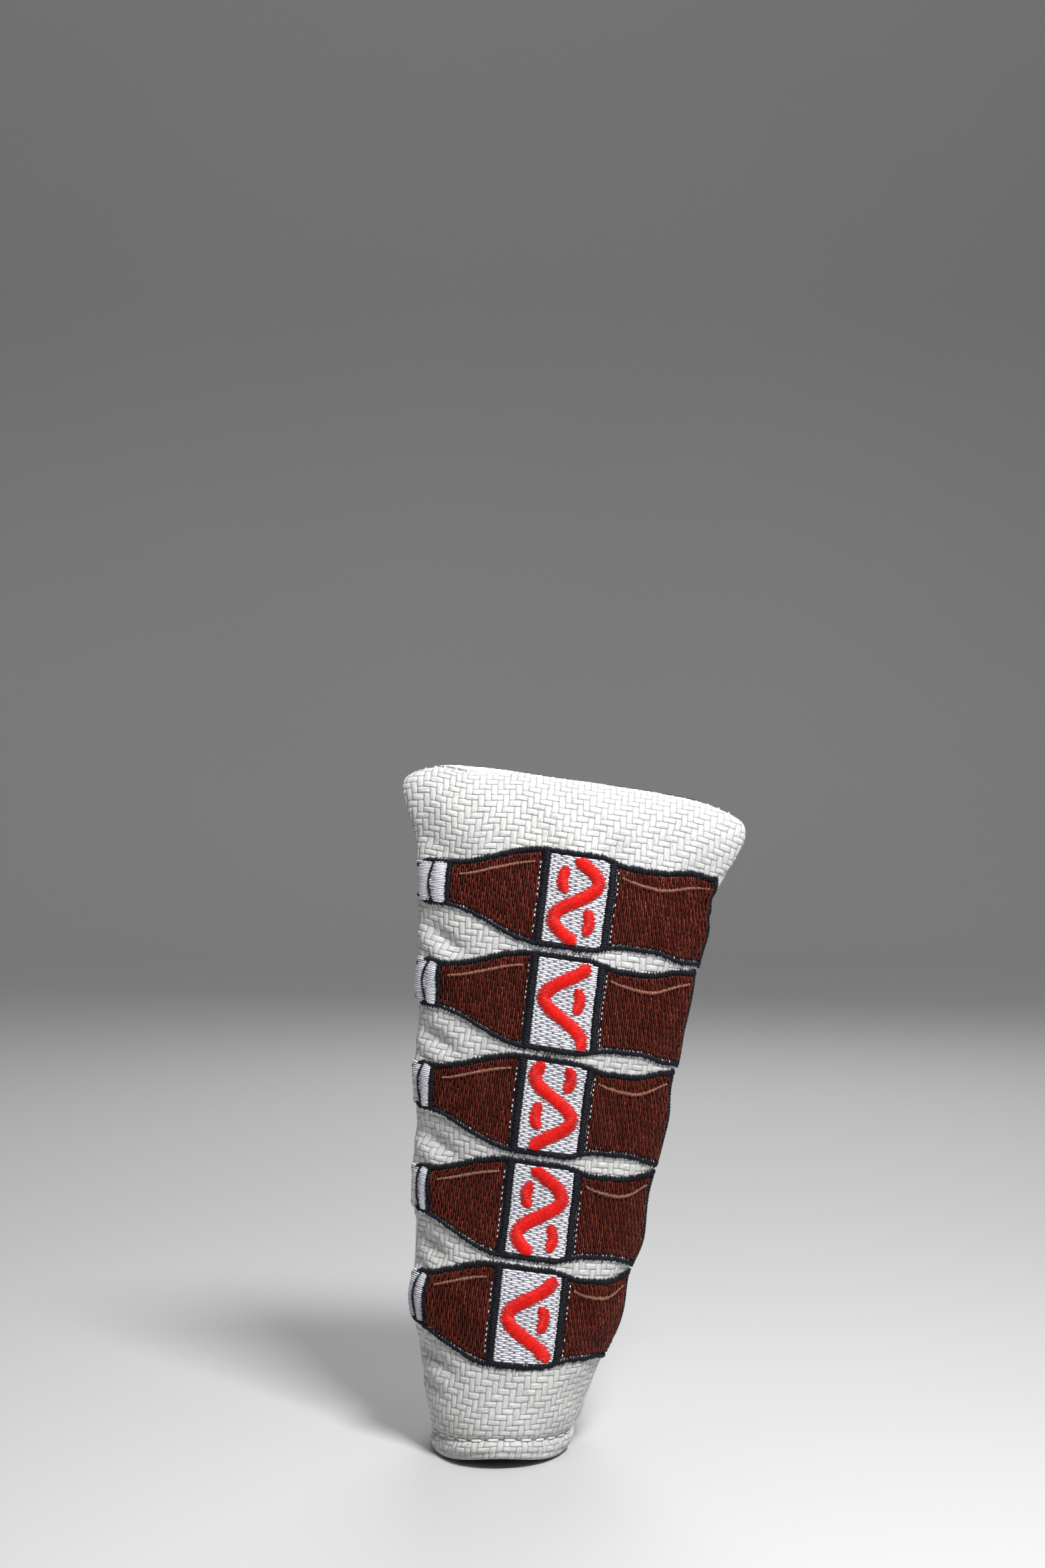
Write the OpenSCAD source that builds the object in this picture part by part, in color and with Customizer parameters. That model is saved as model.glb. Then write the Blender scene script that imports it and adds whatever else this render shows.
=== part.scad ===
// Putter head cover: a padded leather sleeve that stands on its open mouth.
// The front is woven leather with a column of embroidered bottles, the back is smooth
// leather with a slit, and a magnetic flap on the back closes over the slit.
// The cover leans to +X, its front faces -Y, and the mouth rests on z = 0.

/* [Cover] */
// Length along the leaning axis, from the mouth to the top seam
cover_len = 146.5; // [120:0.5:185]
// Lean of the cover's axis towards +X, in degrees
lean = 6.65; // [0:0.05:10]
// Tilt of the top seam from level, in degrees
top_tilt = 8.4; // [0:0.1:12]
// Height over which the mouth's level rim turns into the tilt of the top
tilt_height = 45; // [35:1:60]
// Width of the straight-sided body, measured at the mouth's level
base_width = 38.8; // [32:0.2:50]
// Width of the straight-sided body at the top seam
top_width = 70.4; // [56:0.2:88]
// How far each side is drawn in at the mouth
mouth_pinch = 4.4; // [2:0.1:6]
// Height of the drawn-in stretch above the mouth
pinch_height = 34; // [26:1:44]
// How far each top corner stands out as an ear
ear_flare = 4; // [2:0.1:6]
// Height of the ears
ear_height = 20; // [14:1:28]
// How far the top seam drops at the corners
corner_droop = 3.5; // [1:0.1:5]

/* [Depth] */
// Depth of the oval mouth, front to back
mouth_depth = 40; // [34:0.5:50]
// Depth of the padded body above the mouth
body_depth = 23; // [20:0.5:30]
// Height over which the depth falls from the mouth's to the body's
depth_height = 60; // [45:1:80]
// Bluntness of the closed end, where a higher number is a squarer shoulder
shoulder_power = 14; // [8:1:20]
// How far the front hem arches up at its centre
hem_arch = 2.2; // [0:0.1:3]

/* [Wall layers] */
// Thickness of the outer leather
leather = 1.1; // [0.8:0.1:1.6]
// Thickness of the foam padding
foam = 2.3; // [1.5:0.1:3]
// Thickness of the plush lining
plush = 1.2; // [0.8:0.1:1.8]
// Thickness of the embroidery's backing cloth
backing = 0.35; // [0.25:0.05:0.5]
// Clearance between neighbouring layers
layer_gap = 0.25; // [0.2:0.05:0.4]
// Clearance between the front and back halves along the seams
seam_gap = 0.3; // [0.2:0.05:0.5]
// Height of the lining's lower edge above the mouth
lining_start = 3; // [2:0.5:5]
// Height of the padding's lower edge above the mouth
padding_start = 6; // [5:0.5:9]

/* [Side seams] */
// Angle by which the side seams come forward at the mouth, in degrees
seam_forward = 12; // [6:1:20]
// Angle by which the side seams lie behind the edges above, in degrees
seam_behind = 6; // [2:1:10]
// Height over which the seams move back
seam_height = 50; // [40:1:65]

/* [Bottles] */
// Height of the lowest bottle's centre above the mouth
lowest_bottle = 31.5; // [28:0.5:38]
// Distance of the highest bottle's centre below the top seam
highest_bottle = 25.8; // [22:0.5:32]
// Room between one bottle's fill and the next, taken by outlines and leather
bottle_room = 3; // [2.6:0.1:4]
// Radius of a bottle's cap
cap_radius = 4.4; // [3.5:0.1:5.5]
// How much thinner a bottle is at its waist than at its label
waist_dip = 1.2; // [0:0.1:2]
// Place of the labels' centre line, towards +X from the panel's centre
label_place = 2.5; // [0:0.1:5]
// Width of a label between its two bands
label_width = 14.6; // [12:0.1:18]
// Width of a dark band beside a label
band_width = 2; // [1.4:0.1:2.6]
// Width of the dark outline
outline_width = 1.2; // [0.8:0.1:1.3]
// Distance from the label's centre to the edge of the cap
cap_distance = 27.5; // [24:0.5:30]
// Distance of the embroidery's ends from the side seams
art_margin = 2.2; // [1.5:0.1:4]
// Height of the embroidery above the leather
thread_height = 0.7; // [0.4:0.05:1]
// Width of the ornament's ribbon
ribbon_width = 2; // [1.4:0.1:2.6]
// Length of one wave of the ornament
wave_len = 17; // [13:0.5:22]

/* [Closure flap] */
// Height of the flap's lower edge above the mouth
flap_start = 1.2; // [0.8:0.1:3]
// Length of the flap along the cover
flap_len = 64; // [50:1:80]
// Angle of the flap's sewn edge round the back, in degrees
flap_hinge_angle = -20; // [-30:1:-14]
// Angle of the flap's free edge round the back, in degrees
flap_free_angle = 59; // [56:1:66]
// Further angle that the flap's tongue takes at the mouth, in degrees
tongue_angle = 15; // [0:1:20]
// Height of the tongue
tongue_height = 22; // [16:1:30]
// Radius of the flap's free corners
flap_corner = 6; // [4:0.5:9]
// Clearance between the back panel and the closed flap
flap_gap = 0.5; // [0.4:0.05:0.8]
// Thickness of the flap's inner facing
facing = 0.5; // [0.4:0.05:0.8]
// Thickness of the flap's core
core = 1.1; // [0.8:0.1:1.3]
// Angle that the slit in the back panel takes, in degrees
slit_angle = 7; // [5:1:9]
// Angle of the slit's middle round the back, in degrees
slit_place = 4; // [0:1:10]
// Thickness of the tape that binds the slit
slit_tape = 0.5; // [0.3:0.1:0.8]
// Distance from the slit's end to the flap's upper edge
slit_cover = 6; // [4:0.5:10]

/* [Magnets] */
// Diameter of a magnet
magnet_d = 7; // [6:0.5:9]
// Thickness of a magnet
magnet_t = 1; // [0.8:0.1:1.1]
// Angle of the magnets round the back, in degrees
magnet_angle = 37; // [34:1:40]
// Clearance round a magnet in the padding
magnet_gap = 0.3; // [0.2:0.05:0.5]
// Clearance above and below a magnet in the flap
flap_magnet_gap = 0.18; // [0.15:0.01:0.3]
// Distance from the flap's lower edge to the lower magnet's centre
lower_magnet = 14; // [12:0.5:18]
// Distance between the two magnets
magnet_pitch = 34; // [20:0.5:40]

/* [Stitching] */
// Distance from one hem stitch to the next
hem_pitch = 3.8; // [3:0.1:5]
// Height of the hem stitching above the mouth
hem_stitch_height = 4.6; // [3.5:0.1:6]
// Distance from one fine stitch to the next
fine_pitch = 2.6; // [2:0.1:3.5]
// Distance of a stitch row from the edge that it follows
stitch_inset = 2; // [1.5:0.1:3]
// Diameter of the sewing thread
thread_d = 0.5; // [0.3:0.05:0.7]
// Width of the strip that holds the flap's sewn edge
strip_width = 6; // [5:0.5:8]

/* [Hidden] */

FRONT = -1;
BACK = 1;
stretch_steps = 20;   // rows of facets along the cover
panel_steps = 24;     // columns of facets round an outer panel
inner_steps = 14;     // columns of facets round an inner layer
angle_step = 5;       // step of the arc length table, in degrees
closed_end = 0.2;     // half gap left where an inner layer closes at the top
small_gap = 0.18;     // clearance of thread and tape from what they lie on
bottle_count = 5;

bottle_pitch = (cover_len - highest_bottle - lowest_bottle) / (bottle_count - 1);
label_radius = (bottle_pitch - bottle_room) / 2;
flap_end = flap_start + flap_len;
slit_end = flap_end - slit_cover;
slit_from = slit_place - slit_angle / 2;
slit_to = slit_place + slit_angle / 2;
strip_angle = abs(flap_hinge_angle) + 0.6;   // edge of the flap's sewn strip, past the hinge

// Depths of the layers below the outer surface
backing_depth = leather + layer_gap;
front_foam_depth = backing_depth + backing + layer_gap;
back_foam_depth = leather + layer_gap;
front_lining_depth = front_foam_depth + foam + layer_gap;
back_lining_depth = back_foam_depth + foam + layer_gap;
thread_foot = -small_gap;
thread_top = -small_gap - thread_height;
facing_foot = -flap_gap;
facing_top = facing_foot - facing;
flap_foot = facing_top - magnet_t - magnet_bend() - 2 * flap_magnet_gap;
flap_top = flap_foot - leather;
magnet_depth = back_foam_depth + magnet_t / 2 + magnet_bend() + magnet_gap;
flap_magnet_depth = facing_top - flap_magnet_gap - magnet_t / 2;

// ---- Shape of the cover ----

function smooth(t) = let (c = min(max(t, 0), 1)) c * c * (3 - 2 * c);

// Half width of the body at station w along the axis
function half_width(w) =
    base_width / 2 + (top_width - base_width) / 2 * w / cover_len
    - mouth_pinch * (1 - smooth(w / pinch_height))
    + ear_flare * smooth((w - cover_len + ear_height) / (0.85 * ear_height));

// Half depth of the body where the top isn't closing yet
function open_depth(w) =
    body_depth / 2 + (mouth_depth - body_depth) / 2 * (1 - smooth(w / depth_height));

function half_depth(w) =
    open_depth(w) * sqrt(max(0, 1 - pow(w / cover_len, shoulder_power)));

// The station where a layer at this depth closes
function layer_end(depth) =
    depth <= 0 ? cover_len
    : cover_len * pow(1 - pow((depth + closed_end) / (body_depth / 2), 2), 1 / shoulder_power);

// How far the side seams come forward of the widest line, in degrees
function seam_angle(w) =
    seam_forward - (seam_forward + seam_behind) * smooth(w / seam_height)
    + seam_behind * smooth((w - seam_height) / (cover_len - seam_height));

// A point of the cover's own frame, leaned and tilted into place
function place(x, y, w) =
    let (tilt = top_tilt * smooth(w / tilt_height))
    [w * sin(lean) + x * cos(tilt), y, w * cos(lean) - x * sin(tilt)];

// The point at station w and angle round one half, at a depth below the outer surface
function skin(half, w, angle, depth) =
    let (
        x = (half_width(w) - depth) * sin(angle),
        y = half * (seam_gap / 2 + max(0, half_depth(w) - depth) * cos(angle)),
        droop = corner_droop * pow(abs(sin(angle)), 5) * smooth((w / cover_len - 0.75) / 0.25),
        arch = half == FRONT ? hem_arch * pow(cos(angle), 4) * (1 - smooth(w / 14)) : 0,
        p = place(x, y, w - droop)
    ) [p[0], p[1], p[2] + arch];

// Unit vector out of the back's surface
function outward(w, angle) =
    let (
        along = skin(BACK, w + 0.5, angle, 0) - skin(BACK, w - 0.5, angle, 0),
        across = skin(BACK, w, angle + 1, 0) - skin(BACK, w, angle - 1, 0),
        n = cross(along, across)
    ) n / norm(n);

// Arc length round a half from its centre line, against the angle
function arc_table(a, b) =
    [for (angle = 0, s = 0; angle <= 110;
          s = s + norm([a * (sin(angle + angle_step) - sin(angle)),
                        b * (cos(angle + angle_step) - cos(angle))]),
          angle = angle + angle_step)
        [s, angle]];

function angle_at(w, s) = sign(s) * lookup(abs(s), arc_table(half_width(w), half_depth(w)));
function arc_at(w, angle) =
    let (table = arc_table(half_width(w), half_depth(w)))
    lookup(angle, [for (row = table) [row[1], row[0]]]);

// The point at arc length s from the centre line of one half
function skin_at(half, w, s, depth) = skin(half, w, angle_at(w, s), depth);

// Half width of the front panel, measured along the leather
function panel_half(w) = arc_at(w, 90 - seam_angle(w));

// Rows lie closer together towards the closed end and the mouth
function rows(n, from, to) =
    [for (j = [0:n]) let (t = j / n) from + (to - from) * (0.45 * t + 0.55 * (1 - pow(1 - t, 2)))];

// ---- Solids made of two facing grids of points ----

function quad(a, b, c, d) = [[a, b, c], [a, c, d]];

// A closed sheet between an outer and an inner grid, each indexed [column][row].
// cut(i, j) is true where a cell of the grid is left open.
module sheet(outer, inner, cut = function (i, j) false) {
    nu = len(outer);
    nw = len(outer[0]);
    shift = nu * nw;
    points = concat([for (col = outer) for (p = col) p], [for (col = inner) for (p = col) p]);
    function id(i, j) = i * nw + j;
    function solid(i, j) = i >= 0 && j >= 0 && i < nu - 1 && j < nw - 1 && !cut(i, j);
    function rim(a, b) = quad(b, a, a + shift, b + shift);
    faces = [
        for (i = [0:nu - 2]) for (j = [0:nw - 2]) if (solid(i, j))
            each concat(
                quad(id(i, j), id(i, j + 1), id(i + 1, j + 1), id(i + 1, j)),
                quad(id(i, j) + shift, id(i + 1, j) + shift,
                     id(i + 1, j + 1) + shift, id(i, j + 1) + shift),
                solid(i, j - 1) ? [] : rim(id(i + 1, j), id(i, j)),
                solid(i, j + 1) ? [] : rim(id(i, j + 1), id(i + 1, j + 1)),
                solid(i - 1, j) ? [] : rim(id(i, j), id(i, j + 1)),
                solid(i + 1, j) ? [] : rim(id(i + 1, j + 1), id(i + 1, j))
            )
    ];
    polyhedron(points, faces, convexity = 8);
}

// The same sheet with its faces turned, for the front half
module front_sheet(outer, inner) {
    sheet([for (i = [len(outer) - 1:-1:0]) outer[i]], [for (i = [len(inner) - 1:-1:0]) inner[i]]);
}

// One layer of the front half, from a station to where the layer closes
module front_layer(depth, thickness, from, steps, edge = 0) {
    function grid(d) =
        [for (i = [0:steps]) [for (w = rows(stretch_steps, from, layer_end(d)))
            skin(FRONT, w, (2 * i / steps - 1) * (90 - seam_angle(w) - edge), d)]];
    front_sheet(grid(depth), grid(depth + thickness));
}

// Columns of the back half, with lines of the grid along both edges of the slit
function back_columns(steps) =
    let (left = round(steps * 0.68), right = steps - left - 1)
    concat([for (i = [0:left]) [-1, i / left]], [for (i = [0:right]) [1, i / right]]);

function back_angle(column, w, edge) =
    let (end = 90 + seam_angle(w) - edge)
    column[0] < 0 ? -end + (slit_from + end) * column[1] : slit_to + (end - slit_to) * column[1];

// One layer of the back half, with the slit left open in it
module back_layer(depth, thickness, from, steps, edge = 0) {
    columns = back_columns(steps);
    left = round(steps * 0.68);
    function stations(d) =
        let (low = rows(8, from, slit_end), high = rows(stretch_steps - 8, slit_end, layer_end(d)))
        concat(low, [for (j = [1:len(high) - 1]) high[j]]);
    function grid(d) =
        [for (c = columns) [for (w = stations(d)) skin(BACK, w, back_angle(c, w, edge), d)]];
    sheet(grid(depth), grid(depth + thickness), function (i, j) i == left && j < 8);
}

// A curved block on the back, between two angles and two stations
module back_block(from_angle, to_angle, from_w, to_w, outer_depth, inner_depth, nu, nw) {
    function grid(d) =
        [for (i = [0:nu]) [for (j = [0:nw])
            skin(BACK, from_w + (to_w - from_w) * j / nw,
                 from_angle + (to_angle - from_angle) * i / nu, d)]];
    sheet(grid(outer_depth), grid(inner_depth));
}

// A straight round bar between two points
module bar(p, q, d) {
    v = q - p;
    translate(p)
        rotate([0, acos(v[2] / norm(v)), atan2(v[1], v[0])])
            cylinder(h = norm(v), d = d, $fn = 16);
}

// A disc that lies along the surface of the back, from below to above a depth
module back_disc(w, angle, depth, d, below, above) {
    p = skin(BACK, w, angle, depth);
    n = outward(w, angle);
    bar(p - n * below, p + n * above, d);
}

// ---- Walls of the cover ----

module front_panel() {
    color("gainsboro") front_layer(0, leather, 0, panel_steps);
}

module back_panel() {
    color("whitesmoke") back_layer(0, leather, 0, panel_steps);
}

module embroidery_backing() {
    color("ivory") front_layer(backing_depth, backing, padding_start, inner_steps, 8);
}

module front_padding() {
    color("lightyellow") front_layer(front_foam_depth, foam, padding_start, inner_steps, 6);
}

// The back padding has a recess for each of the body's magnets
module back_padding() {
    color("lightyellow")
        difference() {
            back_layer(back_foam_depth, foam, padding_start, inner_steps, 6);
            for (k = [0, 1])
                back_disc(magnet_station(k), magnet_angle, magnet_depth,
                          magnet_d + 2 * magnet_gap, magnet_t / 2 + magnet_gap,
                          magnet_depth);
        }
}

module front_lining() {
    color("silver") front_layer(front_lining_depth, plush, lining_start, inner_steps, 2);
}

module back_lining() {
    color("silver") back_layer(back_lining_depth, plush, lining_start, inner_steps, 2);
}

// Tape that lines both edges and the end of the slit
module slit_binding() {
    inner_depth = back_lining_depth + plush;
    tape_angle = 1.4;
    clear_angle = 0.5;
    color("white") {
        back_block(slit_from + clear_angle, slit_from + clear_angle + tape_angle,
                   lining_start, slit_end - slit_tape - 2 * small_gap, 0, inner_depth, 1, 8);
        back_block(slit_to - clear_angle - tape_angle, slit_to - clear_angle,
                   lining_start, slit_end - slit_tape - 2 * small_gap, 0, inner_depth, 1, 8);
        back_block(slit_from + clear_angle, slit_to - clear_angle,
                   slit_end - slit_tape - small_gap, slit_end - small_gap, 0, inner_depth, 2, 1);
    }
}

// ---- Embroidery ----

function bottle_station(i) = cover_len - highest_bottle - i * bottle_pitch;

// Where the art of one bottle starts and ends, measured along the leather
function cap_end(w) = -(panel_half(w) - art_margin);
function cap_edge() = label_place - cap_distance;
function left_band() = label_place - label_width / 2;
function right_band() = label_place + label_width / 2;
function base_end(w) = panel_half(w) - art_margin;

// Radius of a bottle at arc length s: cap, shoulder, label, waist and base
function bottle_radius(s) =
    let (
        rise = smooth((s - cap_edge()) / (left_band() - cap_edge())),
        waist = smooth((s - right_band() + 4) / 8) * (1 - smooth((s - right_band() - 10) / 9))
    ) cap_radius + (label_radius - cap_radius) * rise - waist_dip * waist;

// A patch of thread between two places along a bottle and two shares of its radius
module patch(w, from_s, to_s, low, high, nu, nv) {
    function grid(d) =
        [for (i = [0:nu]) let (s = from_s + (to_s - from_s) * i / nu)
            [for (j = [0:nv]) let (v = low(s) + (high(s) - low(s)) * j / nv)
                skin_at(FRONT, w + v, s, d)]];
    front_sheet(grid(thread_top), grid(thread_foot));
}

module bottle_fill_thread() {
    edge = small_gap;
    low = function (s) -bottle_radius(s) + edge;
    high = function (s) bottle_radius(s) - edge;
    half_band = band_width / 2 + small_gap;
    color("saddlebrown")
        for (i = [0:bottle_count - 1]) {
            w = bottle_station(i);
            patch(w, cap_edge() + small_gap, left_band() - half_band, low, high, 10, 6);
            patch(w, right_band() + half_band, base_end(w) - outline_width - small_gap,
                  low, high, 10, 6);
        }
}

module bottle_outline_thread() {
    color("black")
        for (i = [0:bottle_count - 1]) {
            w = bottle_station(i);
            for (side = [-1, 1])
                patch(w, cap_edge() - 1, base_end(w) - outline_width - small_gap,
                      function (s) side < 0 ? -bottle_radius(s) - outline_width : bottle_radius(s),
                      function (s) side < 0 ? -bottle_radius(s) : bottle_radius(s) + outline_width,
                      20, 1);
            for (s = [left_band(), right_band()])
                patch(w, s - band_width / 2, s + band_width / 2,
                      function (s) -bottle_radius(s) + small_gap,
                      function (s) bottle_radius(s) - small_gap, 1, 6);
            patch(w, base_end(w) - outline_width, base_end(w),
                  function (s) -bottle_radius(s) - outline_width,
                  function (s) bottle_radius(s) + outline_width, 1, 6);
        }
}

// Pale lines that lie on the fill, along the top of each bottle
module bottle_highlight_thread() {
    line_width = 0.7;
    drop = 2.2;
    lie = thread_height + small_gap;
    module line(w, from_s, to_s) {
        function grid(d) =
            [for (k = [0:6]) let (s = from_s + (to_s - from_s) * k / 6)
                [for (v = [0, line_width])
                    skin_at(FRONT, w + bottle_radius(s) - drop + v, s, d)]];
        front_sheet(grid(thread_foot - lie - 0.3), grid(thread_foot - lie));
    }
    color("sienna")
        for (i = [0:bottle_count - 1]) {
            w = bottle_station(i);
            line(w, cap_edge() + 2, left_band() - 3);
            line(w, right_band() + 3, base_end(w) - 3);
        }
}

module cap_thread() {
    color("white")
        for (i = [0:bottle_count - 1]) {
            w = bottle_station(i);
            patch(w, cap_end(w), cap_edge() - 1 - small_gap,
                  function (s) -cap_radius, function (s) cap_radius, 5, 4);
        }
}

module label_thread() {
    inset = band_width / 2 + small_gap;
    color("white")
        for (i = [0:bottle_count - 1])
            patch(bottle_station(i), left_band() + inset, right_band() - inset,
                  function (s) -bottle_radius(s) + small_gap,
                  function (s) bottle_radius(s) - small_gap, 4, 6);
}

// One wave runs the length of the label column, and each label shows its own stretch of it.
// A leaf lies in each bend that has room for it.
module label_ornament_thread() {
    lie = thread_height + small_gap;
    reach = label_width / 2 - band_width - ribbon_width / 2;
    leaf_half = 1.9;
    leaf_place = 3.1;
    function wave(w) = sin(360 * (w - bottle_station(0)) / wave_len);
    module ribbon(w) {
        n = 8;
        function grid(d) =
            [for (side = [-1, 1]) [for (k = [0:n])
                let (v = w + (2 * k / n - 1) * (label_radius - 1))
                skin_at(FRONT, v, label_place + reach * wave(v) + side * ribbon_width / 2, d)]];
        front_sheet(grid(thread_foot - lie - 0.4), grid(thread_foot - lie));
    }
    module leaf(w, side) {
        n = 4;
        middle = label_place - side * leaf_place;
        function grid(d) =
            [for (end = [-1, 1]) [for (k = [0:n])
                let (half = 0.2 + 0.9 * sin(180 * k / n))
                skin_at(FRONT, w + leaf_half * (2 * k / n - 1), middle + end * half, d)]];
        front_sheet(grid(thread_foot - lie - 0.4), grid(thread_foot - lie));
    }
    color("red")
        for (i = [0:bottle_count - 1]) {
            w = bottle_station(i);
            ribbon(w);
            first = ceil(2 * (w - label_radius - bottle_station(0)) / wave_len - 0.5);
            for (k = [first:first + 4]) {
                bend = bottle_station(0) + (k + 0.5) * wave_len / 2;
                if (abs(bend - w) < label_radius - leaf_half - 1) leaf(bend, sign(wave(bend)));
            }
        }
}

// ---- Stitching ----

// One stitch that lies along the surface between two angles
module stitch(half, w, angle, next_w, next_angle, depth) {
    p = skin(half, w, angle, depth);
    q = skin(half, next_w, next_angle, depth);
    bar(p + (q - p) * 0.14, p + (q - p) * 0.86, thread_d);
}

module hem_row(half, from_s, to_s) {
    n = round((to_s - from_s) / hem_pitch);
    w = hem_stitch_height;
    for (k = [0:n - 1])
        stitch(half, w, angle_at(w, from_s + (to_s - from_s) * k / n),
               w, angle_at(w, from_s + (to_s - from_s) * (k + 1) / n), -thread_d / 2 - 0.35);
}

module front_hem_stitching() {
    end = panel_half(hem_stitch_height) - 1.5;
    color("ghostwhite") hem_row(FRONT, -end, end);
}

// The hem's row stops where the flap's sewn strip covers it
module back_hem_stitching() {
    w = hem_stitch_height;
    end = arc_at(w, 90 + seam_angle(w)) - 1.5;
    strip = arc_at(w, abs(flap_hinge_angle)) + strip_width + 1.5;
    color("ghostwhite") hem_row(BACK, -end, -strip);
}

// Stitches that draw the two panels together along the top
module top_seam_stitching() {
    n = floor(2 * (top_width / 2 + ear_flare - 2) / fine_pitch);
    color("ghostwhite")
        for (k = [0:n]) {
            angle = asin(2 * k / n * 0.98 - 0.98);
            p = skin(BACK, cover_len, angle, 0);
            foot = [p[0], 0, p[2] + thread_d / 2 + small_gap];
            bar(foot - [0, 0.9, 0], foot + [0, 0.9, 0], thread_d);
        }
}

// ---- Magnetic closure ----

function magnet_station(k) = flap_start + lower_magnet + k * magnet_pitch;

// How far the back curves away from a flat magnet's face at the magnet's edge
function magnet_bend() =
    max([for (k = [0, 1]) for (side = [-1, 1])
        let (
            w = magnet_station(k),
            s = arc_at(w, magnet_angle) + side * magnet_d / 2,
            p = skin(BACK, w, magnet_angle, 0)
        ) (p - skin_at(BACK, w, s, 0)) * outward(w, magnet_angle)]);

// Angle of the flap's free edge, drawn in round the corners
function flap_edge_angle(w, inset) =
    let (
        reach = min(w - flap_start, flap_end - w) - inset,
        r = flap_corner - inset,
        back_off = reach >= r ? 0 : r - sqrt(max(0, r * r - (r - reach) * (r - reach))),
        tongue = tongue_angle * (1 - smooth((w - flap_start) / tongue_height)),
        s = arc_at(w, flap_free_angle + tongue) - inset - back_off
    ) angle_at(w, s);

function flap_stations(inset) =
    let (r = flap_corner - inset, a = flap_start + inset, b = flap_end - inset)
    concat([for (k = [0:3]) a + r * (1 - cos(90 * k / 3))],
           [for (k = [1:7]) a + r + (b - a - 2 * r) * k / 8],
           [for (k = [0:3]) b - r + r * sin(90 * k / 3)]);

module flap_sheet(outer_depth, inner_depth, inset, from_angle, share = 1) {
    nu = 10;
    function grid(d) =
        [for (i = [0:nu]) [for (w = flap_stations(inset))
            skin(BACK, w, from_angle + (flap_edge_angle(w, inset) - from_angle) * share * i / nu, d)]];
    sheet(grid(outer_depth), grid(inner_depth));
}

module closure_flap() {
    color("whitesmoke") flap_sheet(flap_top, flap_foot, 0, flap_hinge_angle);
}

module flap_facing() {
    color("silver") flap_sheet(facing_top, facing_foot, 0.3, flap_hinge_angle);
}

// Thin foam between facing and leather, which stops before the magnets
module flap_core() {
    middle = (facing_top + flap_foot) / 2;
    color("lightyellow")
        flap_sheet(middle - core / 2, middle + core / 2, 2.5, flap_hinge_angle + 3, 0.5);
}

module flap_magnets() {
    color("dimgray")
        for (k = [0, 1])
            back_disc(magnet_station(k), magnet_angle, flap_magnet_depth,
                      magnet_d, magnet_t / 2, magnet_t / 2);
}

module body_magnets() {
    color("dimgray")
        for (k = [0, 1])
            back_disc(magnet_station(k), magnet_angle, magnet_depth,
                      magnet_d, magnet_t / 2, magnet_t / 2);
}

// The strip that holds the flap's sewn edge down on the back panel
module flap_seam_strip() {
    function grid(d) =
        [for (i = [0:3]) [for (j = [0:8]) let (
            w = flap_start + flap_len * j / 8,
            s = -arc_at(w, strip_angle) - strip_width * i / 3)
            skin(BACK, w, angle_at(w, s), d)]];
    color("whitesmoke")
        sheet([for (i = [3:-1:0]) grid(-small_gap - leather)[i]],
              [for (i = [3:-1:0]) grid(-small_gap)[i]]);
}

// A row of stitches along the cover at a given arc length
module long_row(from_w, to_w, place_at, depth) {
    n = round((to_w - from_w) / fine_pitch);
    for (k = [0:n - 1]) {
        a = from_w + (to_w - from_w) * k / n;
        b = from_w + (to_w - from_w) * (k + 1) / n;
        stitch(BACK, a, place_at(a), b, place_at(b), depth);
    }
}

module flap_seam_stitching() {
    lie = -small_gap - leather - thread_d / 2 - 0.1;
    color("ghostwhite")
        for (share = [0.4, 0.8])
            long_row(flap_start + stitch_inset, flap_end - stitch_inset,
                     function (w) angle_at(w, -arc_at(w, strip_angle) - strip_width * share),
                     lie);
}

// One row inside the flap's free edge, with the two ends left open at the corners
module flap_edge_stitching() {
    lie = flap_top - thread_d / 2 - 0.25;
    from_w = flap_start + stitch_inset + 1;
    to_w = flap_end - stitch_inset - 1;
    color("ghostwhite")
        long_row(from_w, to_w, function (w) flap_edge_angle(w, stitch_inset), lie);
}

// A plain wave down the middle of the flap
module flap_ornament_thread() {
    n = 28;
    swing = 5;
    waves = 3;
    margin = 9;
    lie = flap_top - small_gap;
    function grid(d) =
        [for (side = [-1, 1]) [for (k = [0:n]) let (
            w = flap_start + margin + (flap_len - 2 * margin) * k / n,
            middle = arc_at(w, (flap_hinge_angle + flap_free_angle) / 2 + 4),
            s = middle + swing * sin(360 * waves * k / n) + side * ribbon_width / 2)
            skin(BACK, w, angle_at(w, s), d)]];
    color("red") sheet(grid(lie - 0.5), grid(lie));
}

front_panel();
back_panel();
embroidery_backing();
front_padding();
back_padding();
front_lining();
back_lining();
slit_binding();
bottle_fill_thread();
bottle_outline_thread();
bottle_highlight_thread();
cap_thread();
label_thread();
label_ornament_thread();
front_hem_stitching();
back_hem_stitching();
top_seam_stitching();
body_magnets();
flap_seam_strip();
flap_seam_stitching();
closure_flap();
flap_facing();
flap_core();
flap_magnets();
flap_edge_stitching();
flap_ornament_thread();
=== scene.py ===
import math

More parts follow.
